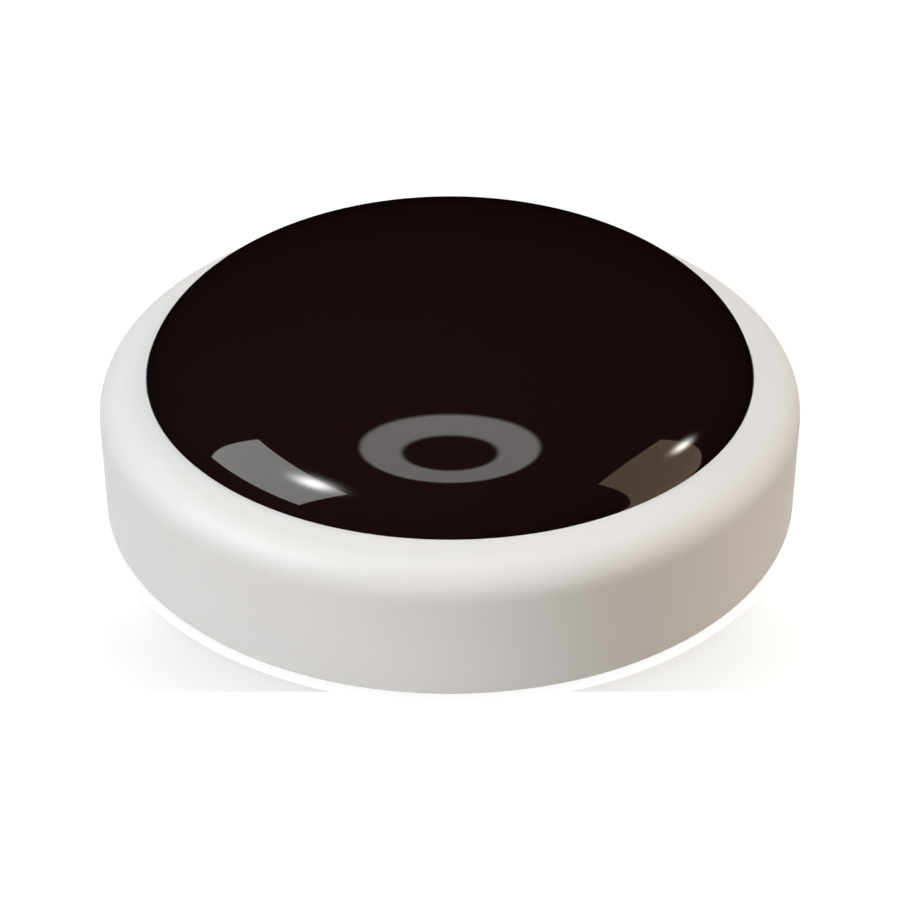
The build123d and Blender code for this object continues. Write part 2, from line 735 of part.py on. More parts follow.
# Chip resistors: one inboard of each tilted emitter, and some under the board
resistor_places = [
    (resistor_circle * math.cos(math.radians(azimuth)), resistor_circle * math.sin(math.radians(azimuth)), azimuth)
    for azimuth in emitter_azimuths
]
resistor_length, resistor_width, resistor_height = resistor_size
with BuildPart() as chip_resistors:
    with BuildSketch(Plane.XY.offset(board_top)):
        for x, y, turn in resistor_places:
            with Locations((x, y)):
                Rectangle(resistor_length, resistor_width, rotation=turn)
    extrude(amount=resistor_height)
    with BuildSketch(Plane.XY.offset(board_underside)):
        for x, y, turn in resistor_underside_places:
            with Locations((x, y)):
                Rectangle(resistor_length, resistor_width, rotation=turn)
    extrude(amount=-resistor_height)
chip_resistors.part.label = "chip_resistors"
export_step(chip_resistors.part, "parts/chip_resistors.step")

chip_capacitors = chips(capacitor_underside_places, capacitor_size, board_underside, False)
chip_capacitors.part.label = "chip_capacitors"
export_step(chip_capacitors.part, "parts/chip_capacitors.step")

status_angle = math.radians(status_led_azimuth)
status_place = (status_led_circle * math.cos(status_angle), status_led_circle * math.sin(status_angle))
status_led = chips([(*status_place, status_led_azimuth)], status_led_size, board_top, True)
status_led.part.label = "status_led"
export_step(status_led.part, "parts/status_led.step")

# Voltage regulator under the board, with three leads on one side and a tab on the other
regulator_level = board_underside - regulator_standoff
regulator = chips([(*regulator_place, 0)], regulator_body, regulator_level, False)
regulator.part.label = "regulator"
export_step(regulator.part, "parts/regulator.step")

lead_length, lead_width, lead_thickness = regulator_lead
with BuildPart() as regulator_leads:
    with BuildSketch(Plane.XY.offset(board_underside)):
        with Locations((regulator_place[0] - regulator_body[0] / 2, regulator_place[1])):
            with GridLocations(0, regulator_lead_pitch, 1, 3):
                Rectangle(lead_length, lead_width, align=(Align.MAX, Align.CENTER))
        with Locations((regulator_place[0] + regulator_body[0] / 2, regulator_place[1])):
            Rectangle(lead_length, regulator_tab_width, align=(Align.MIN, Align.CENTER))
    extrude(amount=-lead_thickness)
regulator_leads.part.label = "regulator_leads"
export_step(regulator_leads.part, "parts/regulator_leads.step")

# Bulk capacitor: an aluminium can on a moulded base, on the board's upper side
with BuildPart() as bulk_capacitor_base:
    with BuildSketch(Plane.XY.offset(board_top)):
        with Locations(bulk_place):
            Rectangle(bulk_base_side, bulk_base_side)
    extrude(amount=bulk_base_height)
    chamfer(bulk_capacitor_base.edges().filter_by(Axis.Z).sort_by(Axis.X)[:2], bulk_base_corner)
bulk_capacitor_base.part.label = "bulk_capacitor_base"
export_step(bulk_capacitor_base.part, "parts/bulk_capacitor_base.step")

with BuildPart() as bulk_capacitor:
    with BuildSketch(Plane.XY.offset(board_top + bulk_base_height)):
        with Locations(bulk_place):
            Circle(bulk_radius)
    extrude(amount=bulk_height - bulk_base_height)
    fillet(bulk_capacitor.edges().group_by(Axis.Z)[-1], edge_break * 2)
bulk_capacitor.part.label = "bulk_capacitor"
export_step(bulk_capacitor.part, "parts/bulk_capacitor.step")

print(f"rim at {rim_height:.2f}, crown at {dome_centre + dome_semi_height:.2f}, post top at {post_top:.2f}")
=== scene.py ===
import json
import math
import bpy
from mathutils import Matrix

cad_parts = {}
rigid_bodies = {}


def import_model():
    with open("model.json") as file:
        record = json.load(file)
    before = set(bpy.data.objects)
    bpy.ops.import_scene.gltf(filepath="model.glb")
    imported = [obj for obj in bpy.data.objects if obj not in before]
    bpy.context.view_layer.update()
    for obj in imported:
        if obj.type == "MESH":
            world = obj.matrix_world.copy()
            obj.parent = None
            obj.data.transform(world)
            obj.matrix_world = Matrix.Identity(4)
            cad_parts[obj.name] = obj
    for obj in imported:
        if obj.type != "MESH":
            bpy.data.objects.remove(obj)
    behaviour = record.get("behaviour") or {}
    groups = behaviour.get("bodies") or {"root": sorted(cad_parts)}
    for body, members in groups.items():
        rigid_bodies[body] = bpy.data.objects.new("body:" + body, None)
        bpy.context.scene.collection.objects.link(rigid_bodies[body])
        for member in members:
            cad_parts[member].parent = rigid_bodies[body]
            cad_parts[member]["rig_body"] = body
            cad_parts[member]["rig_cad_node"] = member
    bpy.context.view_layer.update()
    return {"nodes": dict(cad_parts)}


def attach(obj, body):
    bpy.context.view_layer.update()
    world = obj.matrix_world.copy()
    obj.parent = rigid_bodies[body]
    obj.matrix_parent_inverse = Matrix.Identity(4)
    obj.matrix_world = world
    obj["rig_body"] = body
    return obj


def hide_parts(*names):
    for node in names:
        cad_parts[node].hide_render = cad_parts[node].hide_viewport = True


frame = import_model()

from types import SimpleNamespace

import bmesh
import bpy
from mathutils import Matrix, Quaternion, Vector

bl_info = {
    "name": "Infrared controller",
    "version": (1, 0, 0),
    "blender": (4, 5, 0),
    "location": "3D View > Sidebar > Controller",
    "description": "Dresses the packed frame of a round infrared controller",
    "category": "Object",
}

MM = 0.001
ROUND_STEPS = 256
WIDE_ROUND_STEPS = 192
SMALL_ROUND_STEPS = 48
SCREW_STEPS = 24
JOINT_STEPS = 16
MERGE_DISTANCE = 0.002
SMOOTH_ANGLE = 35.0

# Levels and places that the pieces inside the case share, in millimetres and degrees
INLET_AZIMUTH = 90.0
INLET_HEIGHT = 5.15
INLET_MOUTH = 30.6
PORT_RELIEF = 0.15
PORT_RELIEF_DEPTH = 0.4
RELIEF_DEPTH = 4.0
BUTTON_AZIMUTH = 65.0
BOARD_TOP = 8.0
BOARD_UNDERSIDE = 6.4

# Screws, their posts and bosses
CASE_SCREW_AZIMUTHS = (30.0, 150.0, 270.0)
CASE_SCREW_CIRCLE = 27.6
CASE_SCREW_LENGTH = 6.5
CASE_SCREW_SEAT = 2.5
# Each screw: radius and height of its head, root and crest of its thread, length and pitch
CASE_SCREW = (1.9, 1.3, 0.72, 1.0, CASE_SCREW_LENGTH, 0.8)
BOARD_SCREW = (1.5, 1.0, 0.58, 0.79, 4.2, 0.65)
CASE_HOLE_RADIUS = 1.02
CASE_POST_RADIUS = 2.6
POST_GAP = 0.25
POST_WEB = 3.2
POST_SINK = 0.45
BOSS_RADIUS = 3.0
BOSS_TOP = 4.2
BOSS_SINK = 0.5
COUNTERBORE_RADIUS = 2.1
BORE_CHAMFER = 0.15
CLEARANCE_RADIUS = 1.2
BORE_PAST = 1.0
BOARD_SCREW_AZIMUTHS = (210.0, 330.0)
BOARD_SCREW_CIRCLE = 26.0
BOARD_HOLE_RADIUS = 0.82
BOARD_POST_RADIUS = 2.3

# Edges and small forms of the case, cover, foot and label
FOOT_GAP = 0.1
LABEL_THICKNESS = 0.15
OPENING_EDGE = 0.12
RIM_RADIUS = 0.07
TAPE_INSET = 0.25
COVER_EDGE = 0.12
OPENING_LEVELS = (1.0, 9.5)
# The grooves in the foot's tread: where they are across it, as shares, and their width and depth
TREAD_GROOVES = (0.36, 0.64)
TREAD_GROOVE = (0.5, 0.15)

# Power inlet
INLET_LENGTH = 5.6
INLET_WIDTH = 7.5
INLET_THICKNESS = 2.5
INLET_NARROW_WIDTH = 5.8
INLET_BEVEL_HEIGHT = 1.05
INLET_CORNER = 0.35
INLET_SHEET = 0.25
INLET_LEG = (0.9, INLET_SHEET, 1.2)
INLET_LEG_REACH = 0.4
INLET_LEG_LEVELS = (1.2, 3.8)
INLET_LEG_EDGE = 0.06
INLET_LIP = 0.5
INLET_FLARE = 0.3
INLET_BLOCK = 1.4
INLET_TONGUE_WIDTH = 4.2
INLET_TONGUE_THICKNESS = 0.7
INLET_TONGUE_LEVEL = 0.3125
INLET_TONGUE_BACK = 0.7
INLET_TONGUE_ROOT = 0.2
INLET_CONTACT = (0.35, 0.12)
INLET_CONTACT_PITCH = 0.65

# Reset button
BUTTON_RADIUS = 1.85
BUTTON_PROUD = 0.4
BUTTON_EDGE = 0.4
BUTTON_DISH = 0.1
BUTTON_NOSE_RADIUS = 1.2
BUTTON_NOSE_TIP = 29.45
BUTTON_NOSE_EDGE = 0.15
BUTTON_FLANGE_BACK = 30.15
BUTTON_STEP = 0.1
# Width, height, corner radius and thickness of the button's flange
BUTTON_FLANGE = (6.0, 4.0, 0.8, 0.8)

# Emitters and receiver
EMITTER_AZIMUTHS = (30.0, 90.0, 150.0, 210.0, 270.0, 330.0)
EMITTER_CIRCLE = 14.5
EMITTER_SEAT = 10.5
EMITTER_TILT = 35.0
EMITTER_RADIUS = 2.5
EMITTER_LENGTH = 8.6
EMITTER_FLANGE_RADIUS = 2.9
EMITTER_FLANGE_HEIGHT = 1.0
EMITTER_FLAT_GAP = 0.1
TOP_EMITTER_SEAT = 11.0
# The metal cast inside each emitter: radii and heights of its cup, then its posts' width, foot and edge,
# and the heights of the short post, the tall post and the bridge to the cup
CUP_PROFILE = ((0, 2.0), (0.9, 2.0), (1.15, 3.4), (0.95, 3.4), (0.5, 2.7), (0, 2.7))
CUP_STEPS = 24
CAST_POST = (0.5, 0.05, 0.05)
CAST_POST_HEIGHTS = (2.0, 3.2, 0.4)
LEAD_PITCH = 2.54
LEAD_CIRCLE = 13.517
RECEIVER_AZIMUTH = 300.0
RECEIVER_CIRCLE = 19.5
RECEIVER_SEAT = 9.0
RECEIVER_SIZE = (6.2, 2.8, 7.0)
RECEIVER_LENS_RADIUS = 2.3
RECEIVER_LENS_REACH = 1.3
RECEIVER_LENS_HEIGHT = 4.4
RECEIVER_JOINT = 0.56

# Tracks and solder joints of the board
TRACK_THICKNESS = 0.05
BOARD_RING_TRACKS = ((8.3, 8.9), (16.4, 17.2), (25.2, 25.6))
BOARD_LINK_TRACK = (11.5, 16.8)
LINK_TRACK_WIDTH = 0.8
# The tracks under the board, each its y and its width
POWER_TRACKS = ((0.0, 1.2), (2.6, 0.5), (-2.6, 0.5))
POWER_TRACK_START = 3.5
POWER_TRACK_LENGTH = 9.0
# Radii and heights of the solder below the board and above it
JOINT_PROFILE = ((0, 0), (0.8, 0), (0.62, -0.08), (0.42, -0.3), (0.36, -0.6), (0, -0.66))
FILLET_PROFILE = ((0, 0.12), (0.5, 0.12), (0.72, 0.0), (0, 0.0))

# Small parts of the board

# What a moulded body's top and foot shrink to, along x and y
DRAFT = (0.95, 0.9, 1.0)
TRANSISTOR_SIZE = (2.9, 1.3, 1.0)
TRANSISTOR_EDGE = 0.08
TRANSISTOR_STANDOFF = 0.1
TRANSISTOR_PITCH = 0.95
# Reach, rise, sheet and width of a transistor's lead
TRANSISTOR_LEAD = (0.6, 0.62, 0.15, 0.4)
TRANSISTOR_PLACES = ((7.2, 0.0, 90.0), (-7.2, 0.0, 90.0), (0.0, 7.0, 0.0), (0.0, -7.0, 0.0))
RESISTOR_SIZE = (2.0, 1.25, 0.5)
RESISTOR_CIRCLE = 10.4
RESISTORS_BELOW = ((-8.0, 24.0, 90.0), (-10.5, 24.0, 90.0), (9.5, -18.0, 0.0), (9.5, -15.5, 0.0))
CAPACITOR_SIZE = (2.0, 1.25, 1.1)
CAPACITORS_BELOW = ((-17.0, 7.0, 0.0), (-17.0, -7.0, 0.0), (-10.0, 18.0, 90.0), (-13.0, 18.0, 90.0))
CHIP_END = 0.4
CHIP_INSET = 0.06
CHIP_EDGE = 0.05
CHIP_END_EDGE = 0.07
REGULATOR_SIZE = (3.5, 6.5, 1.6)
REGULATOR_PLACE = (-18.5, 0.0)
REGULATOR_EDGE = 0.1
REGULATOR_STANDOFF = 0.1
# Reach, rise and sheet of the regulator's leads
REGULATOR_LEAD = (1.75, 0.95, 0.28)
REGULATOR_LEAD_WIDTH = 0.7
REGULATOR_TAB_WIDTH = 3.0
REGULATOR_PITCH = 2.3
CAN_PLACE = (-20.0, 0.0)
CAN_RADIUS = 2.5
CAN_HEIGHT = 5.4
CAN_BASE_HEIGHT = 0.9
CAN_EDGE = 0.3
# The rolled groove near the can's foot: its depth, and the levels where it starts, is deep and ends
CAN_GROOVE = 0.14
CAN_GROOVE_LEVELS = (0.5, 0.65, 0.8, 0.95)
# How far in from the wall the hollow of the can's top starts and is full, and its depth
CAN_HOLLOW = (0.5, 0.6, 0.08)


# Colours and lengths of the settings


def linear(hexadecimal):
    """An sRGB hex colour as the linear values that the shaders work in."""
    values = [int(hexadecimal[start:start + 2], 16) / 255 for start in (0, 2, 4)]
    return tuple(v / 12.92 if v <= 0.04045 else ((v + 0.055) / 1.055) ** 2.4 for v in values)


def length(name, description, millimetres):
    """A length that a user may change, kept in metres."""
    return bpy.props.FloatProperty(
        name=name, description=description, default=millimetres * MM, min=0.0, unit="LENGTH", precision=5
    )


def angle(name, description, degrees):
    """An angle that a user may change, kept in radians."""
    return bpy.props.FloatProperty(
        name=name, description=description, default=math.radians(degrees), subtype="ANGLE"
    )


def colour(name, description, hexadecimal):
    """A colour that a user may change, kept as linear values."""
    return bpy.props.FloatVectorProperty(
        name=name,
        description=description,
        default=linear(hexadecimal),
        size=3,
        min=0.0,
        max=1.0,
        subtype="COLOR",
    )


def brightness(name, description, default):
    """A brightness that a user may change."""
    return bpy.props.FloatProperty(name=name, description=description, default=default, min=0.0)


class CaseSizes(bpy.types.PropertyGroup):
    radius: length("Case radius", "Radius of the upright wall", 33.0)
    floor: length("Case floor", "Height of the wall's lower edge above the table", 0.6)
    wall: length("Wall", "Thickness of the upright wall", 1.8)
    shoulder_base: length("Shoulder base", "Height where the upright wall ends", 10.2)
    shoulder_radius: length("Shoulder radius", "Radius of the round shoulder", 3.35)
    land_slope: angle("Land slope", "Slope of the land between the shoulder and the window", 10.9)
    window_radius: length("Window radius", "Radius of the window where it leaves the case", 28.4)
    window_gap: length("Window gap", "Gap between the window and the case", 0.05)
    bezel: length("Bezel", "Thickness of the land over the window's flange", 1.6)
    edge: length("Edge", "Radius on the moulding's outer edges", 0.15)
    port_width: length("Port width", "Width of the port for the plug", 11.2)
    port_height: length("Port height", "Height of the port for the plug", 6.8)
    port_corner: length("Port corner", "Radius of the port's corners", 1.2)
    button_hole: length("Button hole", "Radius of the reset button's hole", 2.0)


class WindowSizes(bpy.types.PropertyGroup):
    semi_radius: length("Half width", "Half width of the window's ellipsoid", 28.51)
    semi_height: length("Half height", "Half height of the window's ellipsoid", 10.33)
    thickness: length("Thickness", "Wall of the moulded window", 1.6)
    flange_radius: length("Flange radius", "Outer radius of the flange under the bezel", 30.1)
    flange_thickness: length("Flange thickness", "Thickness of the flange", 1.0)
    adhesive: length("Adhesive", "Thickness of the adhesive ring", 0.2)


class BaseSizes(bpy.types.PropertyGroup):
    radius: length("Cover radius", "Radius of the base cover", 31.0)
    underside: length("Cover underside", "Height of the cover's underside", 0.9)
    thickness: length("Cover thickness", "Thickness of the base cover", 2.0)
    foot_inner: length("Foot inner radius", "Inner radius of the silicone ring", 20.5)
    foot_outer: length("Foot outer radius", "Outer radius of the silicone ring", 24.5)
    groove: length("Groove depth", "Depth of the groove that holds the ring", 0.9)
    label_radius: length("Label radius", "Radius of the blank label", 14.8)
    label_recess: length("Label recess", "Depth of the recess round the label", 0.25)


class FinishColours(bpy.types.PropertyGroup):
    case: colour("Case", "White of the moulded case", "E3E1DE")
    window: colour("Window", "Body colour of the infrared window", "1A0F0D")
    foot: colour("Foot", "Grey of the silicone ring", "8E8E90")
    button: colour("Button", "Grey of the reset button", "C9C7C4")
    board: colour("Board", "Green of the solder resist", "1F5A3A")


class StudioSettings(bpy.types.PropertyGroup):
    ring_strength: brightness("Ring panel", "Brightness of the ring that shows in glossy surfaces", 2.36)
    left_strength: brightness("Left panel", "Brightness of the neutral panel in glossy surfaces", 3.3)
    right_strength: brightness("Right panel", "Brightness of the warm panel in glossy surfaces", 1.2)
    lamp_power: brightness("Lamps", "Power of the lamps, as a share of the level set for each", 1.0)
    floor_colour: colour("Floor", "Colour of the pale floor", "E0E0E0")
    floor_right_colour: colour("Floor, right", "Warmer colour that its right side throws back", "EADFCC")


def in_millimetres(settings):
    """The settings of a group, with its lengths in millimetres and its angles in degrees."""
    values = {}
    for rule in settings.bl_rna.properties:
        if rule.type != "FLOAT" or rule.is_array:
            continue
        value = getattr(settings, rule.identifier)
        if rule.unit == "LENGTH":
            value = value / MM
        elif rule.subtype == "ANGLE":
            value = math.degrees(value)
        values[rule.identifier] = value
    return SimpleNamespace(**values)


def case_levels(scene):
    """The radii and heights that follow from the sizes of the case and its window, in millimetres."""
    case = in_millimetres(scene.controller_case)
    window = in_millimetres(scene.controller_window)
    slope = math.radians(case.land_slope)
    shoulder_centre = case.radius - case.shoulder_radius
    land_radius = shoulder_centre + case.shoulder_radius * math.sin(slope)
    land_height = case.shoulder_base + case.shoulder_radius * math.cos(slope)
    rim = land_height + (land_radius - case.window_radius) * math.tan(slope)
    edge_angle = math.degrees(math.acos(case.window_radius / window.semi_radius))
    bezel_underside = rim - case.bezel
    return SimpleNamespace(
        inner=case.radius - case.wall,
        shoulder_centre=shoulder_centre,
        rim=rim,
        opening_radius=case.window_radius + case.window_gap,
        opening_height=rim - case.window_gap * math.tan(slope),
        bezel_underside=bezel_underside,
        edge_angle=edge_angle,
        dome_centre=rim - window.semi_height * math.sin(math.radians(edge_angle)),
        flange_top=bezel_underside - window.adhesive,
        flange_bottom=bezel_underside - window.adhesive - window.flange_thickness,
    )


# Modelling steps, in millimetres


def let_go():
    """Back to object mode, with nothing selected."""
    if bpy.context.mode != "OBJECT":
        bpy.ops.object.mode_set(mode="OBJECT")
    bpy.ops.object.select_all(action="DESELECT")


def take(piece):
    """Selects one piece and makes it the active one."""
    let_go()
    piece.select_set(True)
    bpy.context.view_layer.objects.active = piece


def edit(piece):
    """Opens a piece in edit mode, all selected."""
    take(piece)
    bpy.ops.object.mode_set(mode="EDIT")
    bpy.ops.mesh.select_mode(type="VERT")
    bpy.ops.mesh.select_all(action="SELECT")


def name_it(piece, name):
    """Names a piece and its mesh."""
    piece.name = name
    piece.data.name = name
    return piece


def pick(piece, kind, test):
    """In edit mode, selects the vertices, edges or faces that pass a test of their place."""
    bpy.ops.mesh.select_mode(type=kind)
    bpy.ops.mesh.select_all(action="DESELECT")
    mesh = bmesh.from_edit_mesh(piece.data)
    items = {"VERT": mesh.verts, "EDGE": mesh.edges, "FACE": mesh.faces}[kind]
    for item in items:
        if test(item):
            item.select_set(True)
    mesh.select_flush_mode()
    bmesh.update_edit_mesh(piece.data)


def middle(item):
    """The middle of an edge or face in millimetres."""
    points = [corner.co for corner in item.verts]
    return sum(points, Vector()) / len(points) / MM


def arc(centre, radius, start, end, steps):
    """Points of a profile's arc, between two angles in degrees."""
    turns = [math.radians(start + (end - start) * step / steps) for step in range(steps + 1)]
    return [(centre[0] + radius * math.cos(turn), centre[1] + radius * math.sin(turn)) for turn in turns]


def between(start, end, count):
    """Points spaced evenly between two others, without them."""
    shares = [step / (count + 1) for step in range(1, count + 1)]
    return [tuple(a + (b - a) * share for a, b in zip(start, end)) for share in shares]


def rounded(profile, radius, corners, steps=3):
    """A profile with the corners of the given numbers rounded."""
    points = []
    for number, corner in enumerate(profile):
        if number not in corners:
            points.append(corner)
            continue
        here = Vector(corner)
        back = (Vector(profile[number - 1]) - here).normalized()
        onward = (Vector(profile[(number + 1) % len(profile)]) - here).normalized()
        half = back.angle(onward) / 2
        centre = here + (back + onward).normalized() * (radius / math.sin(half))
        start = here + back * (radius / math.tan(half)) - centre
        end = here + onward * (radius / math.tan(half)) - centre
        for step in range(steps + 1):
            points.append(tuple(centre + start.lerp(end, step / steps).normalized() * radius))
    return points


def ellipse(half_width, half_height, centre, start, end, steps):
    """Points of an ellipse's arc round the vertical axis, between two angles in degrees."""
    turns = [math.radians(start + (end - start) * step / steps) for step in range(steps + 1)]
    return [(half_width * math.cos(turn), centre + half_height * math.sin(turn)) for turn in turns]


def draw(name, points, closed):
    """Draws a line of vertices point by point, and leaves it open in edit mode."""
    let_go()
    bpy.ops.mesh.primitive_plane_add(size=MM)
    piece = name_it(bpy.context.object, name)
    edit(piece)
    bpy.ops.mesh.merge(type="CENTER")
    corners = [Vector(point) * MM for point in points]
    bpy.ops.transform.translate(value=corners[0])
    for start, end in zip(corners, corners[1:]):
        bpy.ops.mesh.extrude_vertices_move(TRANSFORM_OT_translate={"value": end - start})
    if closed:
        ends = (corners[0], corners[-1])
        reach = MERGE_DISTANCE * MM
        pick(piece, "VERT", lambda corner: any((corner.co - end).length < reach for end in ends))
        bpy.ops.mesh.edge_face_add()
    bpy.ops.mesh.select_all(action="SELECT")
    return piece


def clean():
    """In edit mode, merges doubles and turns the faces outwards."""
    bpy.ops.mesh.select_all(action="SELECT")
    bpy.ops.mesh.remove_doubles(threshold=MERGE_DISTANCE * MM)
    bpy.ops.mesh.normals_make_consistent(inside=False)
    bpy.ops.object.mode_set(mode="OBJECT")


def lathe(name, profile, steps=SMALL_ROUND_STEPS, closed=True):
    """Spins a profile of radii and heights round the vertical axis."""
    piece = draw(name, [(radius, 0.0, height) for radius, height in profile], closed)
    bpy.ops.mesh.spin(steps=steps, angle=math.tau, center=(0, 0, 0), axis=(0, 0, 1))
    clean()
    return piece


def block(name, size, place, edge=0.0, segments=2):
    """A box at its place, with rounded edges."""
    let_go()
    bpy.ops.mesh.primitive_cube_add(size=1.0, location=Vector(place) * MM, scale=Vector(size) * MM)
    piece = name_it(bpy.context.object, name)
    bpy.ops.object.transform_apply(location=True, rotation=True, scale=True)
    if edge:
        round_edges(piece, edge, segments)
    return piece


def section(name, outline, corner, depth, segments=4, inset=0.0):
    """A polygon in the ground plane with rounded corners, drawn in by an inset and raised to a depth."""
    piece = draw(name, [(x, y, 0.0) for x, y in outline], closed=True)
    bpy.ops.mesh.edge_face_add()
    if corner:
        bpy.ops.mesh.bevel(affect="VERTICES", offset=corner * MM, segments=segments)
    bpy.ops.mesh.select_all(action="SELECT")
    if inset:
        bpy.ops.mesh.select_mode(type="FACE")
        bpy.ops.mesh.inset(thickness=inset * MM)
        bpy.ops.mesh.select_all(action="INVERT")
        bpy.ops.mesh.delete(type="FACE")
        bpy.ops.mesh.select_all(action="SELECT")
    bpy.ops.mesh.extrude_region_move(TRANSFORM_OT_translate={"value": (0, 0, depth * MM)})
    clean()
    return piece


def slab(name, width, height, corner, depth, segments=8):
    """A rounded rectangle in the ground plane, raised to a depth."""
    x, y = width / 2, height / 2
    return section(name, [(-x, -y), (x, -y), (x, y), (-x, y)], corner, depth, segments)


def apply_modifier(piece, kind, **settings):
    """Adds a modifier with its settings and applies it."""
    take(piece)
    modifier = piece.modifiers.new(kind, kind)
    for setting, value in settings.items():
        setattr(modifier, setting, value)
    bpy.ops.object.modifier_apply(modifier=modifier.name)
    return piece


def round_edges(piece, width, segments=2, sharper_than=30.0):
    """Rounds every edge that is sharper than an angle."""
    return apply_modifier(
        piece,
        "BEVEL",
        width=width * MM,
        segments=segments,
        limit_method="ANGLE",
        angle_limit=math.radians(sharper_than),
    )


def combine(piece, other, operation):
    """Cuts another shape from a piece, or joins it on, and removes the other."""
    apply_modifier(piece, "BOOLEAN", operation=operation, object=other, solver="EXACT")
    bpy.data.objects.remove(other)
    return piece


def copy_of(piece, name):
    """A copy with a mesh of its own."""
    double = piece.copy()
    double.data = piece.data.copy()
    bpy.context.scene.collection.objects.link(double)
    return name_it(double, name)


def put(piece, matrix):
    """Moves a piece's mesh by a matrix, and leaves its object at the origin."""
    take(piece)
    piece.matrix_world = matrix
    bpy.ops.object.transform_apply(location=True, rotation=True, scale=True)
    return piece


def facing_out(azimuth, radius, height, tilt=0.0):
    """A place whose x runs round the case, whose y is up and whose z points outwards, tilted up."""
    turn = Matrix.Rotation(math.radians(azimuth + 90.0), 4, "Z")
    lean = Matrix.Rotation(math.radians(90.0 - tilt), 4, "X")
    outward = Vector((math.cos(math.radians(azimuth)), math.sin(math.radians(azimuth)), 0.0))
    return Matrix.Translation((outward * radius + Vector((0.0, 0.0, height))) * MM) @ turn @ lean


def at(x, y, z, turn=0.0):
    """A place on the board, turned about the vertical axis by an angle in degrees."""
    return Matrix.Translation(Vector((x, y, z)) * MM) @ Matrix.Rotation(math.radians(turn), 4, "Z")


def round_place(azimuth, circle, height):
    """A place on a circle round the axis, its x pointing outwards."""
    turn = math.radians(azimuth)
    return at(circle * math.cos(turn), circle * math.sin(turn), height, azimuth)


def join(name, pieces):
    """Several meshes as one piece."""
    let_go()
    for piece in pieces:
        piece.select_set(True)
    bpy.context.view_layer.objects.active = pieces[0]
    bpy.ops.object.join()
    return name_it(bpy.context.object, name)


def drafted(name, size, edge):
    """A moulded body that stands on the ground plane, its sides leaning in above and below the middle."""
    length, width, height = size
    body = block(name, (length, width, height), (0, 0, height / 2))
    edit(body)
    pick(body, "EDGE", lambda side: abs(middle(side).z - height / 2) < MERGE_DISTANCE)
    bpy.ops.mesh.subdivide(number_cuts=1)
    pick(body, "VERT", lambda corner: abs(corner.co.z / MM - height / 2) > MERGE_DISTANCE)
    bpy.ops.transform.resize(value=DRAFT, center_override=(0.0, 0.0, 0.0))
    bpy.ops.object.mode_set(mode="OBJECT")
    return round_edges(body, edge, 2)


def gull_wing(name, reach, rise, sheet, width):
    """A lead that leaves a body's side, steps down to the board and runs out along x."""
    outline = [
        (-0.1, rise),
        (0.2 * reach, rise),
        (0.42 * reach, sheet),
        (reach, sheet),
        (reach, 0),
        (0.28 * reach, 0),
        (0.06 * reach, rise - sheet),
        (-0.1, rise - sheet),
    ]
    lead = section(name, outline, 0.0, width)
    put(lead, Matrix.Translation((0, width / 2 * MM, 0)) @ Matrix.Rotation(math.radians(90), 4, "X"))
    return round_edges(lead, sheet / 5, 2, 20.0)


def screw(name, head, head_height, root, crest, length, pitch):
    """A cross-recess screw with a rolled thread that points up, its head below the ground plane."""
    turns = math.ceil(length / pitch) + 3
    ridges = [(crest if step % 2 else root, 0.0, (step / 2 - 2) * pitch) for step in range(2 * turns + 1)]
    thread = draw(name, ridges, closed=False)
    bpy.ops.object.mode_set(mode="OBJECT")
    apply_modifier(
        thread,
        "SCREW",
        angle=math.tau,
        screw_offset=pitch * MM,
        steps=SCREW_STEPS,
        render_steps=SCREW_STEPS,
        iterations=1,
    )
    edit(thread)
    bpy.ops.mesh.remove_doubles(threshold=MERGE_DISTANCE * MM)
    tip = length - crest / 2
    sink = head_height / 5
    for level, lower in ((-sink, True), (tip, False)):
        bpy.ops.mesh.select_all(action="SELECT")
        bpy.ops.mesh.bisect(
            plane_co=(0, 0, level * MM),
            plane_no=(0, 0, 1),
            use_fill=True,
            clear_inner=lower,
            clear_outer=not lower,
        )
    clean()
    neck = root * 0.98
    point_profile = [(0, tip - sink), (neck, tip - sink), (neck, tip), (root / 2, length), (0, length)]
    point = lathe("point", point_profile, SCREW_STEPS, closed=False)
    combine(thread, point, "UNION")
    edge = head_height / 3
    cap = lathe(
        "cap",
        [(0, -head_height), *arc((head - edge, edge - head_height), edge, 270, 360, 5), (head, 0), (0, 0)],
        closed=False,
    )
    combine(thread, cap, "UNION")
    depth = head_height * 0.6
    for size in ((head * 1.1, head / 4), (head / 4, head * 1.1)):
        cut = block("cut", (*size, 2 * depth), (0, 0, -head_height))
        combine(thread, cut, "DIFFERENCE")
    return name_it(thread, name)


def lead_places():
    """The x and y of every wire lead in the board, and the size of its solder joint as a share."""
    places = [(side * LEAD_PITCH / 2, 0.0, 1.0) for side in (-1, 1)]
    rows = [(azimuth, LEAD_CIRCLE, (-0.5, 0.5), 1.0) for azimuth in EMITTER_AZIMUTHS]
    rows.append((RECEIVER_AZIMUTH, RECEIVER_CIRCLE, (-1, 0, 1), RECEIVER_JOINT))
    for azimuth, circle, steps, share in rows:
        outward = Vector((math.cos(math.radians(azimuth)), math.sin(math.radians(azimuth))))
        around = Vector((-outward.y, outward.x))
        places += [(*(outward * circle + around * step * LEAD_PITCH), share) for step in steps]
    return places


def finished(piece, body, material, slot, *nodes, smooth=SMOOTH_ANGLE):
    """Smooths a piece, gives it its material and puts it on its CAD body."""
    take(piece)
    bpy.ops.object.shade_smooth_by_angle(angle=math.radians(smooth))
    piece.data.materials.clear()
    piece.data.materials.append(material)
    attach(piece, body)
    if nodes:
        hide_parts(*nodes)
    let_go()
    return piece


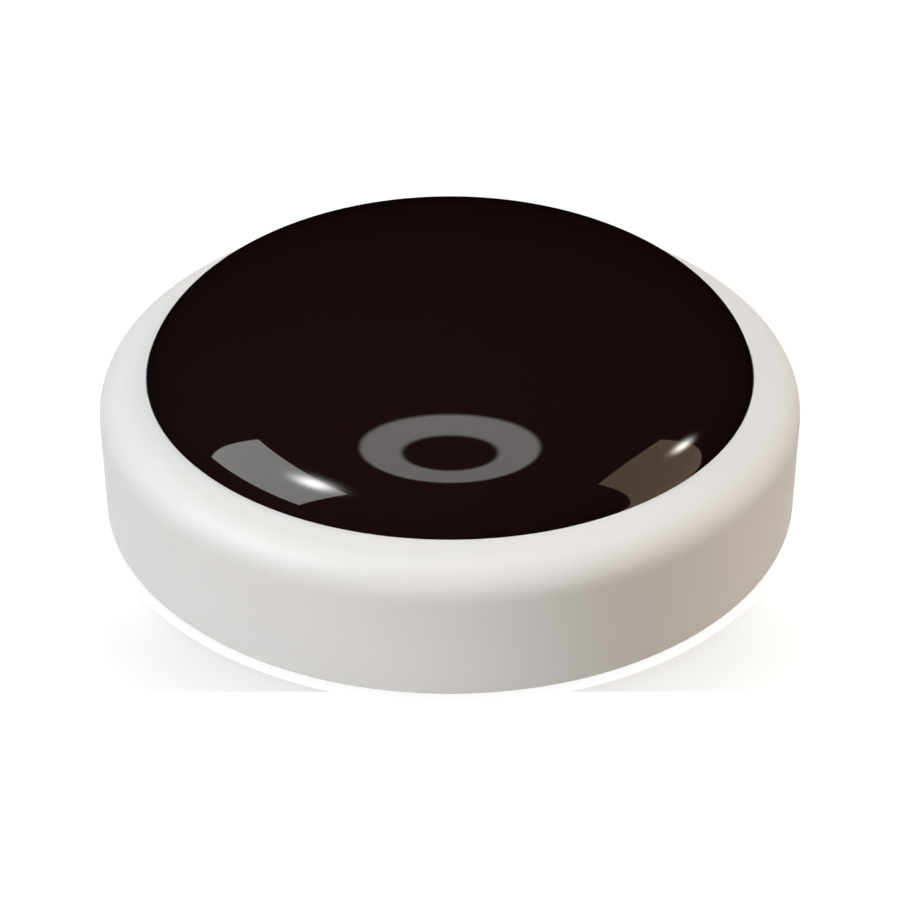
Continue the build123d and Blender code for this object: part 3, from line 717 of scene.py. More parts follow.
def refined(node, body, material, slot, edge=0.0, segments=2):
    """A merged copy of a CAD node, its edges rounded and its round faces smooth."""
    piece = frame["nodes"][node].copy()
    piece.data = frame["nodes"][node].data.copy()
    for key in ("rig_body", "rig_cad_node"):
        if key in piece:
            del piece[key]
    piece.parent = None
    bpy.context.scene.collection.objects.link(piece)
    name_it(piece, f"{node}_finished")
    edit(piece)
    bpy.ops.mesh.remove_doubles(threshold=MERGE_DISTANCE * MM)
    bpy.ops.mesh.dissolve_limited(angle_limit=math.radians(1.0))
    bpy.ops.object.mode_set(mode="OBJECT")
    if edge:
        round_edges(piece, edge, segments, sharper_than=50.0)
    return finished(piece, body, material, slot, node)


# Materials

finishes = {}


def add(tree, kind, inputs=None, **settings):
    """Adds a node with its settings, and fills or links its inputs."""
    node = tree.nodes.new(kind)
    for setting, value in settings.items():
        setattr(node, setting, value)
    for socket, value in (inputs or {}).items():
        if isinstance(value, bpy.types.NodeSocket):
            tree.links.new(value, node.inputs[socket])
        else:
            node.inputs[socket].default_value = value
    return node


def bare_material(name):
    """A material with an empty node tree."""
    material = bpy.data.materials.new(name)
    material.use_nodes = True
    material.node_tree.nodes.clear()
    return material, material.node_tree


def deeper(values, share):
    """A darker neighbour of a colour."""
    return tuple(value * share for value in values)


def ready(shade):
    """A colour for a socket, from linear values or from an sRGB hex colour."""
    return (*(linear(shade) if isinstance(shade, str) else shade), 1.0)


def surface(name, first, second, patch, roughness, spread, grain, depth, stretch=(1, 1, 1), **shader):
    """A finish whose colour and gloss drift over patches, with a fine grain: sizes are in millimetres."""
    material, tree = bare_material(name)
    place = add(tree, "ShaderNodeTexCoord").outputs["Object"]
    spread_out = add(tree, "ShaderNodeMapping", {"Vector": place, "Scale": stretch}).outputs[0]
    patches = add(
        tree, "ShaderNodeTexNoise", {"Vector": spread_out, "Scale": 1 / (patch * MM), "Detail": 3.0}
    ).outputs["Fac"]
    mixed = add(
        tree, "ShaderNodeMix", {0: patches, 6: ready(first), 7: ready(second)}, data_type="RGBA"
    )
    gloss = add(
        tree,
        "ShaderNodeMapRange",
        {"Value": patches, "To Min": roughness - spread, "To Max": roughness + spread},
    )
    grains = add(
        tree, "ShaderNodeTexNoise", {"Vector": spread_out, "Scale": 1 / (grain * MM), "Detail": 2.0}
    )
    raised = add(
        tree, "ShaderNodeBump", {"Height": grains.outputs["Fac"], "Distance": depth * MM, "Strength": 1.0}
    )
    inputs = {
        "Base Color": mixed.outputs[2],
        "Roughness": gloss.outputs[0],
        "Normal": raised.outputs["Normal"],
    }
    inputs.update({socket.replace("_", " "): value for socket, value in shader.items()})
    principled = add(tree, "ShaderNodeBsdfPrincipled", inputs)
    add(tree, "ShaderNodeOutputMaterial", {"Surface": principled.outputs[0]})
    return material


def make_materials(scene):
    """Every finish of the object, by the name of what it is made of."""
    shades = scene.controller_colours
    case = tuple(shades.case)
    button = tuple(shades.button)
    foot = tuple(shades.foot)
    window = tuple(shades.window)
    board = tuple(shades.board)
    return {
        # Moulded white ABS from a fine matt mould: soft, even light with a broad dull highlight
        "case": surface(
            "moulded_white_abs", case, deeper(case, 0.985),
            patch=9.0, roughness=0.5, spread=0.04, grain=0.22, depth=0.0012, IOR=1.54,
        ),
        # The same ABS from a spark-eroded mould: a sandy grain that kills the highlight
        "cover": surface(
            "spark_eroded_white_abs", deeper(case, 0.98), deeper(case, 0.94),
            patch=5.0, roughness=0.62, spread=0.05, grain=0.30, depth=0.006, IOR=1.54,
        ),
        # Polycarbonate dyed to pass infrared: looks black-brown and reflects as sharply as glass
        "window": surface(
            "infrared_polycarbonate", window, deeper(window, 0.9),
            patch=20.0, roughness=0.03, spread=0.008, grain=6.0, depth=0.0002, IOR=1.585,
        ),
        # Acrylic foam tape: matt, black, faintly pitted
        "foam": surface(
            "acrylic_foam_tape", "161616", "1E1E1E",
            patch=1.0, roughness=0.85, spread=0.05, grain=0.2, depth=0.02,
        ),
        # Silicone rubber: dull and slightly velvety
        "silicone": surface(
            "silicone_rubber", foot, deeper(foot, 0.9),
            patch=4.0, roughness=0.6, spread=0.06, grain=0.25, depth=0.004, IOR=1.41, Sheen_Weight=0.15,
        ),
        # Satin polyester film over paper: flat, with a faint orange peel
        "label": surface(
            "satin_polyester_film", "DDDDDB", "D8D8D5",
            patch=6.0, roughness=0.33, spread=0.04, grain=0.5, depth=0.002,
        ),
        # Nickel-plated steel: bright, slightly yellow grey, turning marks worn soft
        "screw": surface(
            "nickel_plated_steel", "B9B5AC", "A8A49B",
            patch=1.2, roughness=0.28, spread=0.08, grain=0.1, depth=0.002, Metallic=1.0,
        ),
        # Green solder resist over glass cloth: glossy, with the weave just raised
        "board": surface(
            "green_solder_resist", board, deeper(board, 0.8),
            patch=7.0, roughness=0.28, spread=0.05, grain=0.5, depth=0.01, IOR=1.55,
        ),
        # Copper track under the same resist: lighter and yellower than the bare laminate
        "track": surface(
            "resist_over_copper", "3A7A4A", "337044",
            patch=3.0, roughness=0.26, spread=0.05, grain=0.5, depth=0.006,
        ),
        # Dark blue solder resist of the wireless module
        "module": surface(
            "blue_solder_resist", "10233F", "0C1B31",
            patch=4.0, roughness=0.25, spread=0.05, grain=0.4, depth=0.006,
        ),
        # Clear epoxy with a blue tint, cast smooth
        "lens": surface(
            "clear_blue_epoxy", "AFC3E6", "A6BBDF",
            patch=3.0, roughness=0.05, spread=0.01, grain=2.0, depth=0.001,
            IOR=1.55, Transmission_Weight=0.85,
        ),
        # Epoxy dyed nearly black that only infrared passes
        "receiver": surface(
            "dark_infrared_epoxy", "17121A", "0F0B12",
            patch=3.0, roughness=0.12, spread=0.03, grain=1.0, depth=0.002,
        ),
        # Tin-plated steel wire: pale and soft-bright
        "tin": surface(
            "tin_plated_wire", "C9C8C4", "B5B4B0",
            patch=0.8, roughness=0.32, spread=0.08, grain=0.1, depth=0.002, Metallic=1.0,
        ),
        # Pressed nickel silver: a fine rolled grain in one direction
        "shield": surface(
            "pressed_nickel_silver", "BDBAB2", "AEABA3",
            patch=1.5, roughness=0.33, spread=0.06, grain=0.12, depth=0.002, stretch=(1, 8, 1), Metallic=1.0,
        ),
        # Black moulding compound: matt with a fine mineral grain
        "compound": surface(
            "black_moulding_compound", "1A1A1B", "232324",
            patch=0.8, roughness=0.7, spread=0.06, grain=0.08, depth=0.004,
        ),
        # Gold flash over copper
        "gold": surface(
            "gold_flash_on_copper", "D9B25F", "C69E4C",
            patch=0.8, roughness=0.25, spread=0.06, grain=0.1, depth=0.001, Metallic=1.0,
        ),
        # Folded nickel-plated sheet: rolled grain along its length
        "inlet": surface(
            "folded_nickel_plated_sheet", "C4C3C1", "B8B7B5",
            patch=1.5, roughness=0.26, spread=0.05, grain=0.12, depth=0.0004, stretch=(6, 1, 6), Metallic=1.0,
        ),
        # Glass-filled nylon: black, dull, with fibres showing as a short grain
        "nylon": surface(
            "glass_filled_nylon", "17171A", "242427",
            patch=0.6, roughness=0.55, spread=0.08, grain=0.1, depth=0.004,
        ),
        # Matt grey ABS of the button
        "button": surface(
            "matt_grey_abs", button, deeper(button, 0.96),
            patch=3.0, roughness=0.45, spread=0.05, grain=0.2, depth=0.0015, IOR=1.54,
        ),
        # Natural nylon: milky and slightly waxy
        "plunger": surface(
            "natural_nylon", "D8D2C0", "CFC8B4",
            patch=1.5, roughness=0.45, spread=0.05, grain=0.15, depth=0.002,
        ),
        # Clear epoxy over a yellow phosphor
        "phosphor": surface(
            "epoxy_over_phosphor", "E8DC8E", "DDCE74",
            patch=0.8, roughness=0.15, spread=0.04, grain=0.3, depth=0.001,
        ),
        # Glazed resistor film: black and glassy
        "film": surface(
            "glazed_resistor_film", "141416", "1B1B1E",
            patch=0.7, roughness=0.18, spread=0.05, grain=0.2, depth=0.001,
        ),
        # Fired tan ceramic: dull, speckled
        "ceramic": surface(
            "fired_tan_ceramic", "A5815A", "8F6D49",
            patch=0.4, roughness=0.5, spread=0.06, grain=0.1, depth=0.002,
        ),
        # Drawn aluminium can: bright with vertical draw lines
        "can": surface(
            "drawn_aluminium", "C6C7C9", "B4B5B8",
            patch=1.0, roughness=0.3, spread=0.06, grain=0.1, depth=0.001, stretch=(6, 6, 1), Metallic=1.0,
        ),
        # Reflowed solder: bright, wetted smooth
        "solder": surface(
            "reflowed_solder", "C8C8C5", "B2B2AF",
            patch=0.6, roughness=0.22, spread=0.08, grain=0.3, depth=0.002, Metallic=1.0,
        ),
    }


def made(name):
    """A material of the object, made the first time that one is asked for."""
    if not finishes:
        finishes.update(make_materials(bpy.context.scene))
    return finishes[name]


# Case, window and base


def soften_openings(shell, radius, width):
    """Rounds the outer edges of the openings in the upright wall."""
    lowest, highest = OPENING_LEVELS

    def outside(item):
        place = middle(item)
        return math.hypot(place.x, place.y) > radius and lowest < place.z < highest

    def on_opening(edge):
        return outside(edge) and edge.is_manifold and edge.calc_face_angle() > math.radians(50)

    edit(shell)
    pick(shell, "EDGE", on_opening)
    bpy.ops.mesh.select_mode(type="VERT")
    bpy.ops.mesh.remove_doubles(threshold=width / 2 * MM)
    pick(shell, "EDGE", on_opening)
    bpy.ops.mesh.bevel(offset=width * MM, segments=3, clamp_overlap=False)
    bpy.ops.object.mode_set(mode="OBJECT")


class CONTROLLER_OT_case_shell(bpy.types.Operator):
    """The white ring-shaped shell with its round shoulder, sloping land, port and button hole"""

    bl_idname = "controller.case_shell"
    bl_label = "Case shell"

    def execute(self, context):
        case = in_millimetres(context.scene.controller_case)
        levels = case_levels(context.scene)
        corner = 1.0
        edge = case.edge
        slope = case.land_slope
        floor_inner = arc((levels.inner + edge, case.floor + edge), edge, 180, 270, 4)
        floor_outer = arc((case.radius - edge, case.floor + edge), edge, 270, 360, 4)
        shoulder = arc((levels.shoulder_centre, case.shoulder_base), case.shoulder_radius, 0, 90 - slope, 28)
        fall = math.radians(slope)
        rim_centre = (
            levels.opening_radius + RIM_RADIUS,
            levels.opening_height - RIM_RADIUS * (math.tan(fall) + 1 / math.cos(fall)),
        )
        rim_edge = arc(rim_centre, RIM_RADIUS, 90 - slope, 180, 4)
        inner_corner = arc((levels.inner - corner, levels.bezel_underside - corner), corner, 90, 0, 8)
        profile = [
            *floor_inner,
            *floor_outer,
            *shoulder,
            *between(shoulder[-1], rim_edge[0], 3),
            *rim_edge,
            (levels.opening_radius, levels.bezel_underside),
            *inner_corner,
        ]
        # Half a step round, so that no line of the wall runs close beside an upright edge of the port
        shell = put(lathe("case_shell", profile, ROUND_STEPS), at(0, 0, 0, 180.0 / ROUND_STEPS))
        port = slab("port_cutter", case.port_width, case.port_height, case.port_corner, 3 * case.wall)
        put(port, facing_out(INLET_AZIMUTH, levels.inner - case.wall, INLET_HEIGHT))
        combine(shell, port, "DIFFERENCE")
        hole = lathe(
            "hole_cutter",
            [(0, 0), (case.button_hole, 0), (case.button_hole, 3 * case.wall), (0, 3 * case.wall)],
            64,
            closed=False,
        )
        put(hole, facing_out(BUTTON_AZIMUTH, levels.inner - case.wall, INLET_HEIGHT))
        combine(shell, hole, "DIFFERENCE")
        soften_openings(shell, case.radius - 0.2, OPENING_EDGE)
        finished(shell, "case", made("case"), "white_abs", "upper_housing")
        # The photographed window shows the dark room at its rim, and not the white land
        shell.visible_glossy = False
        return {"FINISHED"}


class CONTROLLER_OT_case_posts(bpy.types.Operator):
    """The posts inside the shell that take the screws, each with a web to the wall"""

    bl_idname = "controller.case_posts"
    bl_label = "Case posts"

    def execute(self, context):
        levels = case_levels(context.scene)
        top = levels.flange_bottom - POST_GAP
        posts = []
        for azimuth in CASE_SCREW_AZIMUTHS:
            bottom = BOSS_TOP
            hole_top = bottom + CASE_SCREW_LENGTH
            profile = [
                (0, hole_top),
                (CASE_HOLE_RADIUS, hole_top),
                (CASE_HOLE_RADIUS, bottom),
                (CASE_POST_RADIUS, bottom),
                (CASE_POST_RADIUS, top),
                (0, top),
            ]
            posts.append((azimuth, CASE_SCREW_CIRCLE, CASE_POST_RADIUS, bottom, profile, False))
        for azimuth in BOARD_SCREW_AZIMUTHS:
            bottom = BOARD_TOP
            profile = [
                (BOARD_HOLE_RADIUS, bottom),
                (BOARD_POST_RADIUS, bottom),
                (BOARD_POST_RADIUS, top),
                (BOARD_HOLE_RADIUS, top),
            ]
            posts.append((azimuth, BOARD_SCREW_CIRCLE, BOARD_POST_RADIUS, bottom, profile, True))
        pieces = []
        for azimuth, circle, radius, bottom, profile, bored_through in posts:
            post = lathe("post", profile, closed=bored_through)
            reach = levels.inner + POST_SINK - circle
            web_start = radius * 0.8
            web = block(
                "web",
                (reach - web_start, POST_WEB, top - bottom),
                ((reach + web_start) / 2, 0, (top + bottom) / 2),
            )
            combine(post, web, "UNION")
            put(post, round_place(azimuth, circle, 0.0))
            pieces.append(post)
        finished(join("case_posts", pieces), "case", made("case"), "white_abs")
        return {"FINISHED"}


class CONTROLLER_OT_window(bpy.types.Operator):
    """The glossy half ellipsoid that lets infrared through, with its flange under the bezel"""

    bl_idname = "controller.window"
    bl_label = "Dome window"

    def execute(self, context):
        window = in_millimetres(context.scene.controller_window)
        case = in_millimetres(context.scene.controller_case)
        levels = case_levels(context.scene)
        inner_radius = window.semi_radius - window.thickness
        inner_height = window.semi_height - window.thickness
        outside = ellipse(
            window.semi_radius, window.semi_height, levels.dome_centre, 90, levels.edge_angle, 80
        )
        inside = ellipse(inner_radius, inner_height, levels.dome_centre, 0, 90, 40)
        profile = [
            (0.0, outside[0][1]),
            *outside[1:],
            (case.window_radius, levels.flange_top),
            (window.flange_radius, levels.flange_top),
            (window.flange_radius, levels.flange_bottom),
            (inner_radius, levels.flange_bottom),
            *inside[:-1],
            (0.0, inside[-1][1]),
        ]
        dome = lathe("window", profile, ROUND_STEPS, closed=False)
        finished(dome, "case", made("window"), "infrared_window", "dome_window")
        return {"FINISHED"}


class CONTROLLER_OT_base_cover(bpy.types.Operator):
    """The white disc that closes the case from below, with its groove, recess and screw bosses"""

    bl_idname = "controller.base_cover"
    bl_label = "Base cover"

    def execute(self, context):
        base = in_millimetres(context.scene.controller_base)
        case = in_millimetres(context.scene.controller_case)
        top = base.underside + base.thickness
        groove_top = base.underside + base.groove
        recess_top = base.underside + base.label_recess
        label_edge = base.label_radius + FOOT_GAP
        groove_inner = base.foot_inner - FOOT_GAP
        groove_outer = base.foot_outer + FOOT_GAP
        profile = [
            (0, recess_top),
            (label_edge, recess_top),
            (label_edge, base.underside),
            (groove_inner, base.underside),
            (groove_inner, groove_top),
            (groove_outer, groove_top),
            (groove_outer, base.underside),
            (base.radius, base.underside),
            (base.radius, top),
            (0, top),
        ]
        profile = rounded(profile, COVER_EDGE, (2, 3, 6, 7, 8))
        cover = lathe("base_cover_finished", profile, WIDE_ROUND_STEPS, closed=False)
        relief_floor = INLET_HEIGHT - case.port_height / 2 - PORT_RELIEF
        relief = block(
            "relief",
            (case.port_width + 2 * PORT_RELIEF, RELIEF_DEPTH, RELIEF_DEPTH),
            (0, INLET_MOUTH - PORT_RELIEF_DEPTH + RELIEF_DEPTH / 2, relief_floor + RELIEF_DEPTH / 2),
        )
        combine(cover, relief, "DIFFERENCE")
        boss_foot = top - BOSS_SINK
        boss = [(0, boss_foot), (BOSS_RADIUS, boss_foot), (BOSS_RADIUS, BOSS_TOP), (0, BOSS_TOP)]
        bore = [
            (0, 0),
            (COUNTERBORE_RADIUS + base.underside + BORE_CHAMFER, 0),
            (COUNTERBORE_RADIUS, base.underside + BORE_CHAMFER),
            (COUNTERBORE_RADIUS, CASE_SCREW_SEAT),
            (CLEARANCE_RADIUS, CASE_SCREW_SEAT),
            (CLEARANCE_RADIUS, BOSS_TOP + BORE_PAST),
            (0, BOSS_TOP + BORE_PAST),
        ]
        places = [round_place(azimuth, CASE_SCREW_CIRCLE, 0.0) for azimuth in CASE_SCREW_AZIMUTHS]
        for outline, operation in ((boss, "UNION"), (bore, "DIFFERENCE")):
            tools = [put(lathe("tool", outline, closed=False), place) for place in places]
            combine(cover, join("tool", tools), operation)
        finished(cover, "case", made("cover"), "white_abs_cover", "base_cover")
        return {"FINISHED"}


class CONTROLLER_OT_foot_ring(bpy.types.Operator):
    """The silicone ring that the controller stands on, with two fine grooves in its tread"""

    bl_idname = "controller.foot_ring"
    bl_label = "Foot ring"

    def execute(self, context):
        base = in_millimetres(context.scene.controller_base)
        top = base.underside + base.groove
        edge = 0.35
        inner = arc((base.foot_inner + edge, edge), edge, 180, 270, 6)
        outer = arc((base.foot_outer - edge, edge), edge, 270, 360, 6)
        tread = []
        groove_width, groove_depth = TREAD_GROOVE
        for share in TREAD_GROOVES:
            centre = base.foot_inner + (base.foot_outer - base.foot_inner) * share
            tread += [
                (centre - groove_width / 2, 0.0),
                (centre - groove_width / 4, groove_depth),
                (centre + groove_width / 4, groove_depth),
                (centre + groove_width / 2, 0.0),
            ]
        profile = [(base.foot_inner, top), *inner, *tread, *outer, (base.foot_outer, top)]
        foot = lathe("foot_ring_finished", profile, WIDE_ROUND_STEPS)
        finished(foot, "case", made("silicone"), "silicone", "foot_ring")
        return {"FINISHED"}


class CONTROLLER_OT_label(bpy.types.Operator):
    """The blank round label in its recess, with a thin rolled edge"""

    bl_idname = "controller.label"
    bl_label = "Blank label"

    def execute(self, context):
        base = in_millimetres(context.scene.controller_base)
        top = base.underside + base.label_recess
        bottom = top - LABEL_THICKNESS
        edge = LABEL_THICKNESS / 3
        profile = [
            (0, bottom),
            *arc((base.label_radius - edge, bottom + edge), edge, 270, 360, 4),
            (base.label_radius, top),
            (0, top),
        ]
        label = lathe("label", profile, 128, closed=False)
        finished(label, "case", made("label"), "label_film", "rating_label")
        return {"FINISHED"}


class CONTROLLER_OT_window_adhesive(bpy.types.Operator):
    """The foam tape ring that holds the window's flange under the bezel"""

    bl_idname = "controller.window_adhesive"
    bl_label = "Window adhesive"

    def execute(self, context):
        window = in_millimetres(context.scene.controller_window)
        levels = case_levels(context.scene)
        inner = levels.opening_radius + TAPE_INSET
        outer = window.flange_radius - TAPE_INSET
        bulge = window.adhesive / 4
        half = (levels.flange_top + levels.bezel_underside) / 2
        profile = [
            (inner, levels.flange_top),
            (outer - bulge, levels.flange_top),
            (outer, half),
            (outer - bulge, levels.bezel_underside),
            (inner, levels.bezel_underside),
            (inner - bulge, half),
        ]
        tape = lathe("window_adhesive_finished", profile, WIDE_ROUND_STEPS)
        finished(tape, "case", made("foam"), "adhesive_foam", "window_adhesive")
        return {"FINISHED"}


class CONTROLLER_OT_screws(bpy.types.Operator):
    """The three screws of the base cover and the two that hold the board, with cross recesses and threads"""

    bl_idname = "controller.screws"
    bl_label = "Screws"

    def execute(self, context):
        kinds = (
            ("case_screws", CASE_SCREW_AZIMUTHS, CASE_SCREW_CIRCLE, CASE_SCREW_SEAT, CASE_SCREW),
            ("board_screws", BOARD_SCREW_AZIMUTHS, BOARD_SCREW_CIRCLE, BOARD_UNDERSIDE, BOARD_SCREW),
        )
        for node, azimuths, circle, seat, sizes in kinds:
            first = screw("screw", *sizes)
            places = [round_place(azimuth, circle, seat) for azimuth in azimuths]
            copies = [put(copy_of(first, "screw"), place) for place in places]
            bpy.data.objects.remove(first)
            piece = join(f"{node}_finished", copies)
            finished(piece, "case", made("screw"), "screw_steel", node)
        return {"FINISHED"}


class CONTROLLER_OT_main_board(bpy.types.Operator):
    """The round board with its copper tracks under the resist and its solder joints"""

    bl_idname = "controller.main_board"
    bl_label = "Main board"

    def execute(self, context):
        refined("main_board", "case", made("board"), "circuit_board")
        tracks = []
        for inner, outer in BOARD_RING_TRACKS:
            low = BOARD_TOP
            high = BOARD_TOP + TRACK_THICKNESS
            profile = [(inner, low), (outer, low), (outer, high), (inner, high)]
            tracks.append(lathe("track", profile, 96))
        for azimuth in EMITTER_AZIMUTHS:
            start, end = BOARD_LINK_TRACK
            size = (end - start, LINK_TRACK_WIDTH, TRACK_THICKNESS)
            link = block("track", size, ((start + end) / 2, 0, TRACK_THICKNESS / 2))
            tracks.append(put(link, round_place(azimuth, 0.0, BOARD_TOP)))
        for y, width in POWER_TRACKS:
            size = (POWER_TRACK_LENGTH, width, TRACK_THICKNESS)
            line = block("track", size, (POWER_TRACK_LENGTH / 2, 0, -TRACK_THICKNESS / 2))
            tracks.append(put(line, at(POWER_TRACK_START, y, BOARD_UNDERSIDE)))
        finished(join("board_tracks", tracks), "case", made("track"), "circuit_board")
        joint = lathe("joint", JOINT_PROFILE, JOINT_STEPS, closed=False)
        fillet = lathe("fillet", FILLET_PROFILE, JOINT_STEPS, closed=False)
        joints = []
        for x, y, share in lead_places():
            narrowed = Matrix.Diagonal((share, share, 1.0, 1.0))
            joints.append(put(copy_of(joint, "joint"), at(x, y, BOARD_UNDERSIDE) @ narrowed))
            joints.append(put(copy_of(fillet, "joint"), at(x, y, BOARD_TOP) @ narrowed))
        bpy.data.objects.remove(joint)
        bpy.data.objects.remove(fillet)
        finished(join("solder_joints", joints), "case", made("solder"), "tinned_leads")
        return {"FINISHED"}


class CONTROLLER_OT_emitters(bpy.types.Operator):
    """The seven 5 mm infrared emitters: clear lenses, and the cups and posts cast inside them"""

    bl_idname = "controller.emitters"
    bl_label = "Infrared emitters"

    def execute(self, context):
        barrel = EMITTER_LENGTH - EMITTER_RADIUS
        outline = [
            (0, 0),
            (EMITTER_FLANGE_RADIUS, 0),
            (EMITTER_FLANGE_RADIUS, EMITTER_FLANGE_HEIGHT),
            (EMITTER_RADIUS, EMITTER_FLANGE_HEIGHT),
            *arc((0, barrel), EMITTER_RADIUS, 0, 90, 14)[:-1],
            (0, EMITTER_LENGTH),
        ]
        lens = lathe("lens", outline, closed=False)
        flat_depth = 2 * (EMITTER_FLANGE_RADIUS - EMITTER_RADIUS)
        flat = block(
            "flat",
            (flat_depth, 2 * EMITTER_FLANGE_RADIUS, EMITTER_FLANGE_HEIGHT - MERGE_DISTANCE),
            (EMITTER_RADIUS + EMITTER_FLAT_GAP + flat_depth / 2, 0, EMITTER_FLANGE_HEIGHT / 2),
        )
        combine(lens, flat, "DIFFERENCE")
        side = LEAD_PITCH / 2
        wide, foot, edge = CAST_POST
        short, tall, bridge = CAST_POST_HEIGHTS
        inside = join(
            "inside",
            [
                lathe("cup", CUP_PROFILE, CUP_STEPS, closed=False),
                block("post", (wide, wide, short), (-side, 0, foot + short / 2), edge),
                block("bridge", (side, wide, bridge), (-side / 2, 0, foot + short - bridge / 2), edge),
                block("post", (wide, wide, tall), (side, 0, foot + tall / 2), edge),
            ],
        )
        places = {
            f"ir_emitter_{number}": facing_out(azimuth, EMITTER_CIRCLE, EMITTER_SEAT, EMITTER_TILT)
            for number, azimuth in enumerate(EMITTER_AZIMUTHS, start=1)
        }
        places["ir_emitter_top"] = at(0, 0, TOP_EMITTER_SEAT)
        insides = []
        for node, place in places.items():
            piece = put(copy_of(lens, f"{node}_finished"), place)
            finished(piece, "case", made("lens"), "emitter_epoxy", node)
            insides.append(put(copy_of(inside, "inside"), place))
        bpy.data.objects.remove(lens)
        bpy.data.objects.remove(inside)
        finished(join("emitter_cups", insides), "case", made("tin"), "tinned_leads")
        refined("emitter_leads", "case", made("tin"), "tinned_leads", 0.06)
        return {"FINISHED"}


class CONTROLLER_OT_receiver(bpy.types.Operator):
    """The upright receiver with its round lens, and its three leads"""

    bl_idname = "controller.receiver"
    bl_label = "Infrared receiver"

    def execute(self, context):
        width, depth, height = RECEIVER_SIZE
        body = block("ir_receiver_finished", (width, height, depth), (0, height / 2, 0), 0.3, 3)
        front = depth / 2
        bulge = ellipse(RECEIVER_LENS_RADIUS, RECEIVER_LENS_REACH, front, 0, 90, 12)
        outline = [(0, 0), (RECEIVER_LENS_RADIUS, 0), *bulge[:-1], (0, bulge[-1][1])]
        lens = lathe("lens", outline, closed=False)
        put(lens, at(0, RECEIVER_LENS_HEIGHT, 0))
        combine(body, lens, "UNION")
        put(body, facing_out(RECEIVER_AZIMUTH, RECEIVER_CIRCLE, RECEIVER_SEAT))
        finished(body, "case", made("receiver"), "receiver_epoxy", "ir_receiver")
        refined("receiver_leads", "case", made("tin"), "tinned_leads", 0.06)
        return {"FINISHED"}


class CONTROLLER_OT_wireless_module(bpy.types.Operator):
    """The wireless module: its board, shield can, chip and folded aerial"""

    bl_idname = "controller.wireless_module"
    bl_label = "Wireless module"

    def execute(self, context):
        refined("wifi_board", "case", made("module"), "module_board")
        refined("wifi_shield", "case", made("shield"), "shield_steel", 0.04)
        refined("wifi_chip", "case", made("compound"), "black_epoxy", 0.08)
        refined("wifi_aerial", "case", made("gold"), "aerial_copper", 0.02)
        return {"FINISHED"}


class CONTROLLER_OT_inlet(bpy.types.Operator):
    """The micro-USB inlet: folded steel shell with a flared mouth, moulded tongue and gilt contacts"""

    bl_idname = "controller.inlet"
    bl_label = "Power inlet"

    def execute(self, context):
        across = INLET_WIDTH / 2
        half = INLET_THICKNESS / 2
        narrow = INLET_NARROW_WIDTH / 2
        knee = INLET_BEVEL_HEIGHT - half
        outline = [
            (-across, knee),
            (-narrow, -half),
            (narrow, -half),
            (across, knee),
            (across, half),
            (-across, half),
        ]
        straight = INLET_LENGTH - INLET_LIP
        place = facing_out(INLET_AZIMUTH, INLET_MOUTH - INLET_LENGTH, INLET_HEIGHT)
        shell = section("usb_shell_finished", outline, INLET_CORNER, straight)
        edit(shell)
        pick(shell, "FACE", lambda face: middle(face).z > straight - MERGE_DISTANCE)
        bpy.ops.mesh.extrude_region_move(TRANSFORM_OT_translate={"value": (0, 0, INLET_LIP * MM)})
        flare = (1 + INLET_FLARE / across, 1 + INLET_FLARE / half, 1.0)
        bpy.ops.transform.resize(value=flare, center_override=(0.0, 0.0, 0.0))
        pick(shell, "FACE", lambda face: abs(face.normal.z) > 0.99)
        bpy.ops.mesh.delete(type="FACE")
        bpy.ops.object.mode_set(mode="OBJECT")
        apply_modifier(shell, "SOLIDIFY", thickness=INLET_SHEET * MM, offset=-1.0, use_even_offset=True)
        round_edges(shell, 0.05, 2, 50.0)
        legs = []
        for side in (-1, 1):
            for level in INLET_LEG_LEVELS:
                place_of_leg = (side * (across + INLET_LEG_REACH), half - INLET_SHEET / 2, level)
                legs.append(block("leg", INLET_LEG, place_of_leg, INLET_LEG_EDGE))
        shell = put(join("usb_shell_finished", [shell, *legs]), place)
        finished(shell, "case", made("inlet"), "inlet_steel", "usb_shell")
        body = section("usb_tongue_finished", outline, INLET_CORNER, INLET_BLOCK, inset=INLET_SHEET)
        tongue_reach = INLET_LENGTH - INLET_TONGUE_BACK
        tongue = block(
            "tongue",
            (INLET_TONGUE_WIDTH, INLET_TONGUE_THICKNESS, tongue_reach - INLET_TONGUE_ROOT),
            (0, INLET_TONGUE_LEVEL, (tongue_reach + INLET_TONGUE_ROOT) / 2),
            0.12,
            3,
        )
        combine(body, tongue, "UNION")
        put(body, place)
        finished(body, "case", made("nylon"), "inlet_nylon", "usb_tongue")
        contact_end = INLET_LENGTH - 2 * INLET_TONGUE_BACK
        contact_level = INLET_TONGUE_LEVEL - INLET_TONGUE_THICKNESS / 2 - INLET_CONTACT[1] / 2
        contacts = []
        for number in range(-2, 3):
            contact = block(
                "contact",
                (*INLET_CONTACT, contact_end - INLET_BLOCK),
                (number * INLET_CONTACT_PITCH, contact_level, (contact_end + INLET_BLOCK) / 2),
                0.04,
                3,
            )
            contacts.append(contact)
        strips = put(join("usb_contacts_finished", contacts), place)
        finished(strips, "case", made("gold"), "gold_contacts", "usb_contacts")
        return {"FINISHED"}


